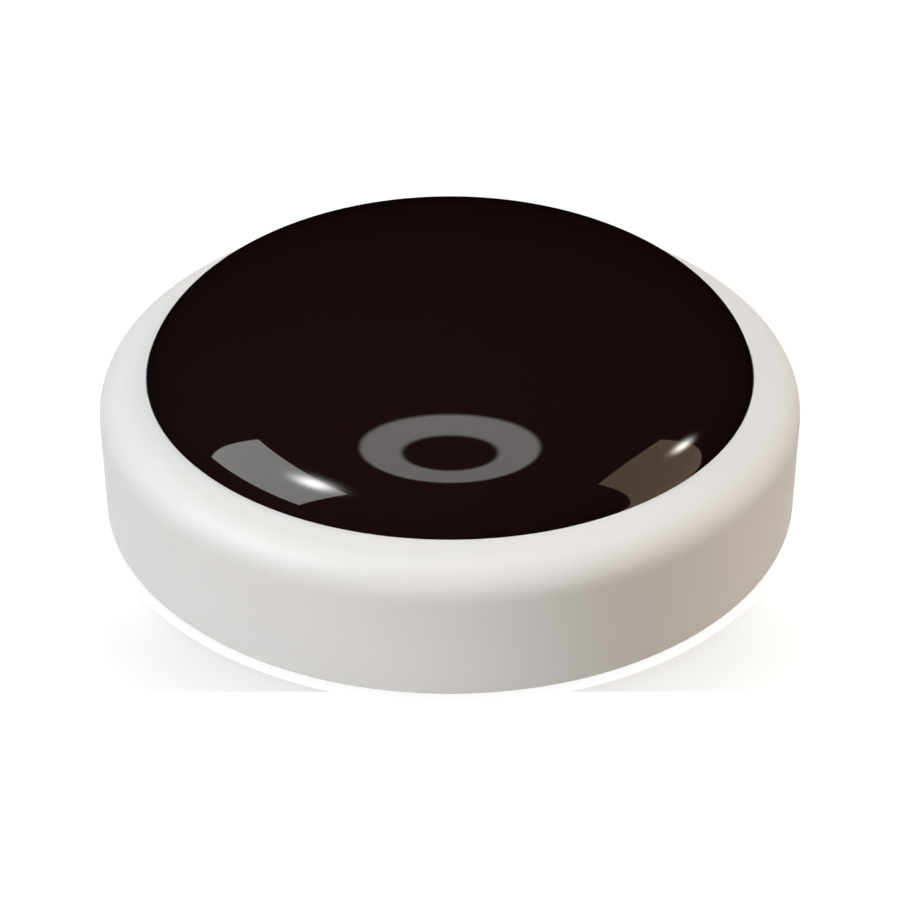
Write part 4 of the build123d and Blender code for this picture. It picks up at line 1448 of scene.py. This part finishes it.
class CONTROLLER_OT_reset_button(bpy.types.Operator):
    """The round reset button: a dished cap in the wall, a flange behind it and a nose towards the switch"""

    bl_idname = "controller.reset_button"
    bl_label = "Reset button"

    def execute(self, context):
        case = in_millimetres(context.scene.controller_case)
        edge = BUTTON_EDGE
        end = case.radius + BUTTON_PROUD
        rounding = arc((BUTTON_RADIUS - edge, end - edge), edge, 0, 90, 6)
        flat = BUTTON_RADIUS - edge
        dish = [(share * flat, end - BUTTON_DISH * (1 - share * share)) for share in (0.75, 0.5, 0.25)]
        step = BUTTON_FLANGE_BACK + BUTTON_STEP
        profile = [
            (0, BUTTON_NOSE_TIP),
            (BUTTON_NOSE_RADIUS - BUTTON_NOSE_EDGE, BUTTON_NOSE_TIP),
            (BUTTON_NOSE_RADIUS, BUTTON_NOSE_TIP + BUTTON_NOSE_EDGE),
            (BUTTON_NOSE_RADIUS, step),
            (BUTTON_RADIUS, step),
            *between((BUTTON_RADIUS, step), rounding[0], 2),
            *rounding,
            *dish,
            (0, end - BUTTON_DISH),
        ]
        cap = lathe("reset_button_finished", profile, closed=False)
        width, height, corner, thickness = BUTTON_FLANGE
        flange = slab("flange", width, height, corner, thickness, 5)
        put(flange, at(0, 0, BUTTON_FLANGE_BACK))
        combine(cap, flange, "UNION")
        put(cap, facing_out(BUTTON_AZIMUTH, 0.0, INLET_HEIGHT))
        finished(cap, "reset_button", made("button"), "button_abs", "reset_button")
        return {"FINISHED"}


class CONTROLLER_OT_switch(bpy.types.Operator):
    """The side-push switch under the board: moulded housing, folded cover and moving plunger"""

    bl_idname = "controller.switch"
    bl_label = "Side-push switch"

    def execute(self, context):
        refined("switch_housing", "case", made("nylon"), "switch_nylon", 0.08)
        refined("switch_cover", "case", made("shield"), "shield_steel", 0.04)
        refined("switch_plunger", "switch_plunger", made("plunger"), "plunger_nylon", 0.12, 3)
        return {"FINISHED"}


class CONTROLLER_OT_transistors(bpy.types.Operator):
    """The four driver transistors with drafted bodies and gull-wing leads"""

    bl_idname = "controller.transistors"
    bl_label = "Driver transistors"

    def execute(self, context):
        side_reach = TRANSISTOR_SIZE[1] / 2
        first = drafted("body", TRANSISTOR_SIZE, TRANSISTOR_EDGE)
        wing = gull_wing("wing", *TRANSISTOR_LEAD)
        bodies = []
        wings = []
        for x, y, turn in TRANSISTOR_PLACES:
            place = at(x, y, BOARD_TOP, turn)
            bodies.append(put(copy_of(first, "body"), place @ at(0, 0, TRANSISTOR_STANDOFF)))
            for step, side in ((-1, -1), (1, -1), (0, 1)):
                foot = at(step * TRANSISTOR_PITCH, side * side_reach, 0, side * 90.0)
                wings.append(put(copy_of(wing, "wing"), place @ foot))
        bpy.data.objects.remove(first)
        bpy.data.objects.remove(wing)
        bodies = join("driver_transistors_finished", bodies)
        finished(bodies, "case", made("compound"), "black_epoxy", "driver_transistors")
        wings = join("transistor_leads_finished", wings)
        finished(wings, "case", made("tin"), "tinned_leads", "transistor_leads")
        return {"FINISHED"}


class CONTROLLER_OT_chip_parts(bpy.types.Operator):
    """The chip resistors, chip capacitors and status light, with the tinned ends of all of them"""

    bl_idname = "controller.chip_parts"
    bl_label = "Chip parts"

    def execute(self, context):
        turns = [math.radians(azimuth) for azimuth in EMITTER_AZIMUTHS]
        resistors = [
            (RESISTOR_CIRCLE * math.cos(turn), RESISTOR_CIRCLE * math.sin(turn), azimuth)
            for turn, azimuth in zip(turns, EMITTER_AZIMUTHS)
        ]
        groups = (
            ("chip_resistors", "film", "resistor_film", RESISTOR_SIZE, resistors, RESISTORS_BELOW),
            ("chip_capacitors", "ceramic", "capacitor_ceramic", CAPACITOR_SIZE, (), CAPACITORS_BELOW),
        )
        ends = []
        for node, finish, slot, size, above, below in groups:
            length, width, height = size
            levels = [(place, BOARD_TOP) for place in above]
            levels += [(place, BOARD_UNDERSIDE - height) for place in below]
            core = [side - CHIP_INSET for side in size]
            first = block("body", core, (0, 0, height / 2), CHIP_EDGE)
            reach = (length - CHIP_END) / 2
            end = (CHIP_END, width, height)
            tips = [block("tip", end, (side * reach, 0, height / 2), CHIP_END_EDGE, 3) for side in (-1, 1)]
            tips = join("tips", tips)
            bodies = []
            for (x, y, turn), level in levels:
                bodies.append(put(copy_of(first, "body"), at(x, y, level, turn)))
                ends.append(put(copy_of(tips, "tips"), at(x, y, level, turn)))
            bpy.data.objects.remove(first)
            bpy.data.objects.remove(tips)
            finished(join(f"{node}_finished", bodies), "case", made(finish), slot, node)
        finished(join("chip_ends", ends), "case", made("tin"), "tinned_leads")
        refined("status_led", "case", made("phosphor"), "led_epoxy", 0.12, 3)
        return {"FINISHED"}


class CONTROLLER_OT_regulator(bpy.types.Operator):
    """The voltage regulator under the board, with three gull-wing leads and a broad tab"""

    bl_idname = "controller.regulator"
    bl_label = "Voltage regulator"

    def execute(self, context):
        side_reach = REGULATOR_SIZE[0] / 2
        place = at(*REGULATOR_PLACE, BOARD_UNDERSIDE) @ Matrix.Rotation(math.pi, 4, "X")
        body = drafted("regulator_finished", REGULATOR_SIZE, REGULATOR_EDGE)
        put(body, place @ at(0, 0, REGULATOR_STANDOFF))
        finished(body, "case", made("compound"), "black_epoxy", "regulator")
        lead = gull_wing("wing", *REGULATOR_LEAD, REGULATOR_LEAD_WIDTH)
        leads = [
            put(copy_of(lead, "wing"), place @ at(-side_reach, number * REGULATOR_PITCH, 0, 180.0))
            for number in (-1, 0, 1)
        ]
        bpy.data.objects.remove(lead)
        tab = gull_wing("wing", *REGULATOR_LEAD, REGULATOR_TAB_WIDTH)
        leads.append(put(tab, place @ at(side_reach, 0, 0)))
        leads = join("regulator_leads_finished", leads)
        finished(leads, "case", made("tin"), "tinned_leads", "regulator_leads")
        return {"FINISHED"}


class CONTROLLER_OT_bulk_capacitor(bpy.types.Operator):
    """The aluminium can capacitor with its rolled groove, on its moulded base"""

    bl_idname = "controller.bulk_capacitor"
    bl_label = "Bulk capacitor"

    def execute(self, context):
        low = BOARD_TOP + CAN_BASE_HEIGHT
        high = BOARD_TOP + CAN_HEIGHT
        start, deep, deep_end, end = (low + level for level in CAN_GROOVE_LEVELS)
        rim, slope_end, hollow = CAN_HOLLOW
        profile = [
            (0, low),
            (CAN_RADIUS - CAN_GROOVE, low),
            (CAN_RADIUS, low + CAN_GROOVE),
            (CAN_RADIUS, start),
            (CAN_RADIUS - CAN_GROOVE, deep),
            (CAN_RADIUS - CAN_GROOVE, deep_end),
            (CAN_RADIUS, end),
            *arc((CAN_RADIUS - CAN_EDGE, high - CAN_EDGE), CAN_EDGE, 0, 90, 5),
            (CAN_RADIUS - rim, high),
            (CAN_RADIUS - slope_end, high - hollow),
            (0, high - hollow),
        ]
        can = put(lathe("bulk_capacitor_finished", profile, 64, closed=False), at(*CAN_PLACE, 0))
        finished(can, "case", made("can"), "capacitor_can", "bulk_capacitor")
        refined("bulk_capacitor_base", "case", made("nylon"), "black_nylon", 0.12)
        return {"FINISHED"}


# Stage

# Lengths are in metres here, apart from the shade's. The floor's white near the object comes first, and
# then how far out it rises to full white
FLOOR_GLOW = 0.9
FLOOR_FADE = (0.10, 0.35)
FLOOR_SHADE = (0.2, 0.187, 0.172)
# The painted shadow beside the flanks: how much it takes from the floor's glow, and its oval's centre and
# stretch
PAINTED_FLANK_SHADOW = 0.3
FLANK_CENTRE = (0.0, -0.0245, 0.0)
FLANK_STRETCH = (1.0, 2.2, 0.0)
# In millimetres: where the painted shadow beside the flanks ends and is full, the gap before it and its lower
# cut
FLANK_REACH = (40.0, 15.0)
FLANK_GAP = (33.4, 33.6)
FLANK_CUT = (-32.0, -31.85)
# Shade painted into the floor's bounce colour, unseen by the camera: the patch's centre, radius and the share
# of bounce it keeps at its middle
DIM_PATCH_CENTRE = (0.0227, -0.0446, 0.0)
DIM_PATCH_RADIUS = 0.026
DIM_PATCH_SHARE = 0.57
WARM_FLOOR_START = 0.04
STUDIO_RADIUS = 3.0
RING_HEIGHT = 0.6
RING_OUTER = 0.1985
RING_INNER = 0.0905
RING_SOFTNESS = 0.16
PANEL_DISTANCE = 2.4
WARM_PANEL = (1.0, 0.72, 0.53)
OVAL_DISTANCE = 2.2
OVAL_REACH = 2.6
LAMP_DISTANCE = 0.7
LAMP_SIZE = 0.18
# Each bright oval: azimuth, elevation, reach along and across, tilt, brightness, colour
LEFT_OVAL = (-61.9, 46.5, 5.5, 4.4, 12.0, 18.8, (1.0, 1.0, 1.0))
RIGHT_OVAL = (97.3, 25.3, 3.9, 2.85, -41.0, 18.2, (1.0, 0.96, 0.9))
# Each lamp: azimuth, elevation, power, colour
LAMPS = {
    "overhead_lamp": (0.0, 90.0, 3.18, (0.86, 0.94, 1.0)),
    "left_lamp": (-61.0, 13.0, 2.0, (0.98, 0.985, 1.0)),
    "front_lamp": (8.0, 46.0, 1.1, (1.0, 0.91, 0.885)),
    "back_lamp": (104.0, 48.0, 1.02, (1.0, 0.74, 0.49)),
}
# Azimuth and elevation of each panel's corners
LEFT_CORNERS = ((-92.9, 12.1), (-102.9, 47.0), (-46.0, 48.4), (-53.6, 14.1))
RIGHT_CORNERS = ((63.7, -28.0), (63.7, 44.2), (102.2, 42.6), (94.5, -28.0))
CAMERA_TARGET = (0.0, 0.0, 0.00387)
CAMERA_PLACE = (0.0, -0.20814, 0.14379)
CAMERA_LENS = 104.3
CAMERA_SENSOR = 36.0


def direction(azimuth, elevation):
    """A unit vector: azimuth is from the front towards the right, elevation is above the table."""
    turn = math.radians(azimuth)
    rise = math.radians(elevation)
    return Vector((math.sin(turn) * math.cos(rise), -math.cos(turn) * math.cos(rise), math.sin(rise)))


def lit_panel(name, corners, shade, strength):
    """A flat glowing panel that faces the object, from the directions of its corners."""
    rays = [direction(*corner) for corner in corners]
    normal = sum(rays, Vector()).normalized()
    panel = draw(name, [ray * (PANEL_DISTANCE / ray.dot(normal)) / MM for ray in rays], closed=True)
    bpy.ops.mesh.edge_face_add()
    bpy.ops.object.mode_set(mode="OBJECT")
    material, tree = bare_material(name)
    cloth = add(tree, "ShaderNodeEmission", {"Color": (*shade, 1.0), "Strength": strength})
    add(tree, "ShaderNodeOutputMaterial", {"Surface": cloth.outputs[0]})
    panel.data.materials.append(material)
    return panel


def bright_oval(name, azimuth, elevation, along, across, tilt, peak, shade):
    """The lamp in a panel: a soft oval glow just before it, which also spills past the panel's edge."""
    way = direction(azimuth, elevation)
    turn = way.to_track_quat("Z", "Y") @ Quaternion((0, 0, 1), math.radians(tilt))
    reach = 2 * OVAL_REACH * OVAL_DISTANCE
    size = (reach * math.radians(along), reach * math.radians(across), 1.0)
    let_go()
    bpy.ops.mesh.primitive_plane_add(size=1, location=way * OVAL_DISTANCE, rotation=turn.to_euler())
    oval = name_it(bpy.context.object, name)
    oval.scale = size
    material, tree = bare_material(name)
    place = add(tree, "ShaderNodeTexCoord").outputs["Object"]
    far = add(tree, "ShaderNodeVectorMath", {0: place}, operation="LENGTH").outputs["Value"]
    squared = add(tree, "ShaderNodeMath", {0: far, 1: 2.0}, operation="POWER").outputs[0]
    falling = add(
        tree, "ShaderNodeMath", {0: squared, 1: -((2 * OVAL_REACH) ** 2)}, operation="MULTIPLY"
    ).outputs[0]
    bell = add(tree, "ShaderNodeMath", {0: falling}, operation="EXPONENT").outputs[0]
    glow = add(tree, "ShaderNodeMath", {0: bell, 1: peak}, operation="MULTIPLY").outputs[0]
    bulb = add(tree, "ShaderNodeEmission", {"Color": (*shade, 1.0), "Strength": glow})
    clear = add(tree, "ShaderNodeBsdfTransparent")
    both = add(tree, "ShaderNodeAddShader", {0: bulb.outputs[0], 1: clear.outputs[0]})
    add(tree, "ShaderNodeOutputMaterial", {"Surface": both.outputs[0]})
    oval.data.materials.append(material)
    return oval


def ring_cloth(strength, inner, outer):
    """The ring light's diffuser, brighter at its middle and soft at its edges."""
    material, tree = bare_material("ring_diffuser")
    place = add(tree, "ShaderNodeTexCoord").outputs["Object"]
    flat = add(tree, "ShaderNodeVectorMath", {0: place, 1: (1, 1, 0)}, operation="MULTIPLY").outputs[0]
    far = add(tree, "ShaderNodeVectorMath", {0: flat}, operation="LENGTH").outputs["Value"]
    soft = (outer - inner) * RING_SOFTNESS
    rise = add(
        tree,
        "ShaderNodeMapRange",
        {"Value": far, "From Min": inner, "From Max": inner + soft},
        interpolation_type="SMOOTHSTEP",
    ).outputs[0]
    fall = add(
        tree,
        "ShaderNodeMapRange",
        {"Value": far, "From Min": outer, "From Max": outer - soft},
        interpolation_type="SMOOTHSTEP",
    ).outputs[0]
    both = add(tree, "ShaderNodeMath", {0: rise, 1: fall}, operation="MULTIPLY").outputs[0]
    glow = add(tree, "ShaderNodeMath", {0: both, 1: strength}, operation="MULTIPLY").outputs[0]
    emission = add(tree, "ShaderNodeEmission", {"Color": (1.0, 0.985, 0.97, 1.0), "Strength": glow})
    add(tree, "ShaderNodeOutputMaterial", {"Surface": emission.outputs[0]})
    return material


def camera_and_gloss(tree):
    """Whether a ray is the camera's own, and whether a glossy or clear surface sent it on."""
    path = add(tree, "ShaderNodeLightPath").outputs
    gloss = add(
        tree,
        "ShaderNodeMath",
        {0: path["Is Glossy Ray"], 1: path["Is Transmission Ray"]},
        operation="MAXIMUM",
    ).outputs[0]
    return path["Is Camera Ray"], gloss


def floor_material(scene):
    """A pale seamless floor: white to the eye, it takes the object's shadow, has painted shade and throws
    light back.
    """
    material, tree = bare_material("pale_seamless_floor")
    camera, gloss = camera_and_gloss(tree)
    place = add(tree, "ShaderNodeTexCoord").outputs["Object"]
    far = add(tree, "ShaderNodeVectorMath", {0: place}, operation="LENGTH").outputs["Value"]
    moved = add(
        tree, "ShaderNodeVectorMath", {0: place, 1: FLANK_CENTRE}, operation="SUBTRACT"
    ).outputs[0]
    squeezed = add(
        tree, "ShaderNodeVectorMath", {0: moved, 1: FLANK_STRETCH}, operation="MULTIPLY"
    ).outputs[0]
    aside = add(tree, "ShaderNodeVectorMath", {0: squeezed}, operation="LENGTH").outputs["Value"]
    glow = add(
        tree,
        "ShaderNodeMapRange",
        {"Value": far, "From Min": FLOOR_FADE[0], "From Max": FLOOR_FADE[1], "To Min": FLOOR_GLOW},
        interpolation_type="SMOOTHSTEP",
    ).outputs[0]
    # The photographed floor darkens a little beside the case's lower flanks, and is cut white before it
    # This darkening is a painted shadow in the floor's glow, not one that the lamps cast
    split = add(tree, "ShaderNodeSeparateXYZ", {0: place}).outputs
    depth = split["Y"]
    shades = [
        add(
            tree,
            "ShaderNodeMapRange",
            {"Value": value, "From Min": start * MM, "From Max": end * MM},
            interpolation_type="SMOOTHSTEP",
        ).outputs[0]
        for value, (start, end) in ((aside, FLANK_REACH), (far, FLANK_GAP), (depth, FLANK_CUT))
    ]
    painted_shadow = shades[0]
    for shade in shades[1:]:
        painted_shadow = add(tree, "ShaderNodeMath", {0: painted_shadow, 1: shade}, operation="MULTIPLY").outputs[0]
    glow = add(
        tree, "ShaderNodeMath", {0: painted_shadow, 1: -PAINTED_FLANK_SHADOW, 2: glow}, operation="MULTIPLY_ADD"
    ).outputs[0]
    seen = add(tree, "ShaderNodeMath", {0: camera, 1: glow}, operation="MULTIPLY").outputs[0]
    strength = add(tree, "ShaderNodeMath", {0: seen, 1: gloss}, operation="MAXIMUM").outputs[0]
    # The photographed wall turns warm towards the right, and the land above it stays neutral
    rightness = add(
        tree,
        "ShaderNodeMapRange",
        {"Value": split["X"], "From Min": 0.0, "From Max": WARM_FLOOR_START},
        interpolation_type="SMOOTHSTEP",
    ).outputs[0]
    studio = scene.controller_studio
    pale = add(
        tree,
        "ShaderNodeMix",
        {0: rightness, 6: (*studio.floor_colour, 1.0), 7: (*studio.floor_right_colour, 1.0)},
        data_type="RGBA",
    ).outputs[2]
    # It also has a dark band on the right of the front, and so the floor has a darker patch before it:
    # painted shade
    from_patch = add(
        tree, "ShaderNodeVectorMath", {0: place, 1: DIM_PATCH_CENTRE}, operation="DISTANCE"
    ).outputs["Value"]
    dimming = add(
        tree,
        "ShaderNodeMapRange",
        {"Value": from_patch, "From Min": 0.0, "From Max": DIM_PATCH_RADIUS, "To Min": DIM_PATCH_SHARE},
        interpolation_type="SMOOTHSTEP",
    ).outputs[0]
    pale = add(tree, "ShaderNodeVectorMath", {0: pale, "Scale": dimming}, operation="SCALE").outputs[0]
    faint = (*FLOOR_SHADE, 1.0)
    bounced = add(tree, "ShaderNodeMix", {0: camera, 6: pale, 7: faint}, data_type="RGBA").outputs[2]
    shown = add(
        tree, "ShaderNodeMix", {0: gloss, 6: bounced, 7: (0, 0, 0, 1)}, data_type="RGBA"
    ).outputs[2]
    cloth = add(tree, "ShaderNodeBsdfDiffuse", {"Color": shown})
    light = add(tree, "ShaderNodeEmission", {"Strength": strength})
    both = add(tree, "ShaderNodeAddShader", {0: cloth.outputs[0], 1: light.outputs[0]})
    add(tree, "ShaderNodeOutputMaterial", {"Surface": both.outputs[0]})
    material.cycles.emission_sampling = "NONE"
    return material


def backdrop_material():
    """A white backdrop that only shows, and doesn't light the object."""
    material, tree = bare_material("white_backdrop")
    camera, gloss = camera_and_gloss(tree)
    either = add(tree, "ShaderNodeMath", {0: camera, 1: gloss}, operation="MAXIMUM").outputs[0]
    light = add(tree, "ShaderNodeEmission", {"Strength": either})
    add(tree, "ShaderNodeOutputMaterial", {"Surface": light.outputs[0]})
    material.cycles.emission_sampling = "NONE"
    return material


def soft_lamp(name, azimuth, elevation, power, shade):
    """A square lamp for the matt surfaces; glossy ones show the panels and the ring in its place."""
    let_go()
    way = direction(azimuth, elevation)
    turn = way.to_track_quat("Z", "Y").to_euler()
    bpy.ops.object.light_add(type="AREA", location=way * LAMP_DISTANCE, rotation=turn)
    lamp = bpy.context.object
    lamp.name = name
    lamp.data.name = name
    lamp.data.shape = "SQUARE"
    lamp.data.size = LAMP_SIZE
    lamp.data.energy = power
    lamp.data.color = shade
    lamp.visible_glossy = False
    lamp.visible_camera = False
    return lamp


def dark_world(scene):
    """A world that gives no light: the lamps, the floor's bounce and the panels do all of it."""
    world = bpy.data.worlds.new("dark_studio")
    scene.world = world
    world.use_nodes = True
    tree = world.node_tree
    tree.nodes.clear()
    background = add(tree, "ShaderNodeBackground", {"Color": (0, 0, 0, 1), "Strength": 0.0})
    add(tree, "ShaderNodeOutputWorld", {"Surface": background.outputs[0]})


class CONTROLLER_OT_stage(bpy.types.Operator):
    """The floor, backdrop, lamps, the panels that show in gloss, and the camera"""

    bl_idname = "controller.stage"
    bl_label = "Stage"

    def execute(self, context):
        scene = context.scene
        studio = scene.controller_studio
        let_go()
        bpy.ops.mesh.primitive_circle_add(vertices=96, radius=STUDIO_RADIUS, fill_type="NGON")
        floor = name_it(context.object, "floor")
        floor.data.materials.append(floor_material(scene))
        let_go()
        bpy.ops.mesh.primitive_uv_sphere_add(segments=64, ring_count=32, radius=STUDIO_RADIUS)
        backdrop = name_it(context.object, "backdrop")
        bpy.ops.object.shade_smooth()
        backdrop.data.materials.append(backdrop_material())
        backdrop.visible_diffuse = False
        backdrop.visible_shadow = False
        ring_profile = [(RING_INNER / MM, RING_HEIGHT / MM), (RING_OUTER / MM, RING_HEIGHT / MM)]
        ring = lathe("ring_light", ring_profile, 96, closed=False)
        ring.data.materials.append(ring_cloth(studio.ring_strength, RING_INNER, RING_OUTER))
        left = lit_panel("left_panel", LEFT_CORNERS, linear("FFFEFC"), studio.left_strength)
        right = lit_panel("right_panel", RIGHT_CORNERS, WARM_PANEL, studio.right_strength)
        ovals = [bright_oval("left_oval", *LEFT_OVAL), bright_oval("right_oval", *RIGHT_OVAL)]
        lamps = [
            soft_lamp(name, azimuth, elevation, power * studio.lamp_power, shade)
            for name, (azimuth, elevation, power, shade) in LAMPS.items()
        ]
        for panel in (ring, left, right, *ovals):
            panel.visible_diffuse = False
            panel.visible_camera = False
            panel.visible_shadow = False
        # Gloss sees past the floor's edge to the backdrop, so the right panel reaches the window's rim
        floor.visible_glossy = False
        shown_to = bpy.data.collections.new("all_but_window")
        shown_to.objects.link(bpy.data.objects["window"])
        shown_to.collection_objects[0].light_linking.link_state = "EXCLUDE"
        for plain in (floor, backdrop):
            plain.light_linking.receiver_collection = shown_to
        dark_world(scene)
        scene.view_settings.view_transform = "Standard"
        view = Vector(CAMERA_PLACE) - Vector(CAMERA_TARGET)
        let_go()
        bpy.ops.object.camera_add(location=CAMERA_PLACE, rotation=view.to_track_quat("Z", "Y").to_euler())
        camera = context.object
        camera.name = "camera"
        camera.data.lens = CAMERA_LENS
        camera.data.sensor_width = CAMERA_SENSOR
        camera.data.clip_start = 0.01
        camera.data.clip_end = 4 * STUDIO_RADIUS
        scene.camera = camera
        return {"FINISHED"}


class CONTROLLER_PT_pieces(bpy.types.Panel):
    """Lists the controller's settings and the steps that make it"""

    bl_label = "Infrared controller"
    bl_idname = "CONTROLLER_PT_pieces"
    bl_space_type = "VIEW_3D"
    bl_region_type = "UI"
    bl_category = "Controller"

    def draw(self, context):
        for name in GROUPS:
            settings = getattr(context.scene, name)
            box = self.layout.box()
            for rule in settings.bl_rna.properties:
                if rule.identifier not in ("name", "rna_type"):
                    box.prop(settings, rule.identifier)
        for step in STEPS:
            self.layout.operator(step.bl_idname)


GROUPS = {
    "controller_case": CaseSizes,
    "controller_window": WindowSizes,
    "controller_base": BaseSizes,
    "controller_colours": FinishColours,
    "controller_studio": StudioSettings,
}
STEPS = (
    CONTROLLER_OT_case_shell,
    CONTROLLER_OT_case_posts,
    CONTROLLER_OT_window,
    CONTROLLER_OT_base_cover,
    CONTROLLER_OT_foot_ring,
    CONTROLLER_OT_label,
    CONTROLLER_OT_window_adhesive,
    CONTROLLER_OT_screws,
    CONTROLLER_OT_main_board,
    CONTROLLER_OT_emitters,
    CONTROLLER_OT_receiver,
    CONTROLLER_OT_wireless_module,
    CONTROLLER_OT_inlet,
    CONTROLLER_OT_reset_button,
    CONTROLLER_OT_switch,
    CONTROLLER_OT_transistors,
    CONTROLLER_OT_chip_parts,
    CONTROLLER_OT_regulator,
    CONTROLLER_OT_bulk_capacitor,
    CONTROLLER_OT_stage,
)


def register():
    """Registers the settings, the steps and the panel."""
    for kind in (*GROUPS.values(), *STEPS, CONTROLLER_PT_pieces):
        bpy.utils.register_class(kind)
    for name, kind in GROUPS.items():
        setattr(bpy.types.Scene, name, bpy.props.PointerProperty(type=kind))


def unregister():
    """Takes the settings, the steps and the panel away again."""
    for name in GROUPS:
        delattr(bpy.types.Scene, name)
    for kind in reversed((*GROUPS.values(), *STEPS, CONTROLLER_PT_pieces)):
        bpy.utils.unregister_class(kind)


def main():
    register()
    for step in STEPS:
        category, name = step.bl_idname.split(".")
        getattr(getattr(bpy.ops, category), name)()


if __name__ == "__main__":
    main()
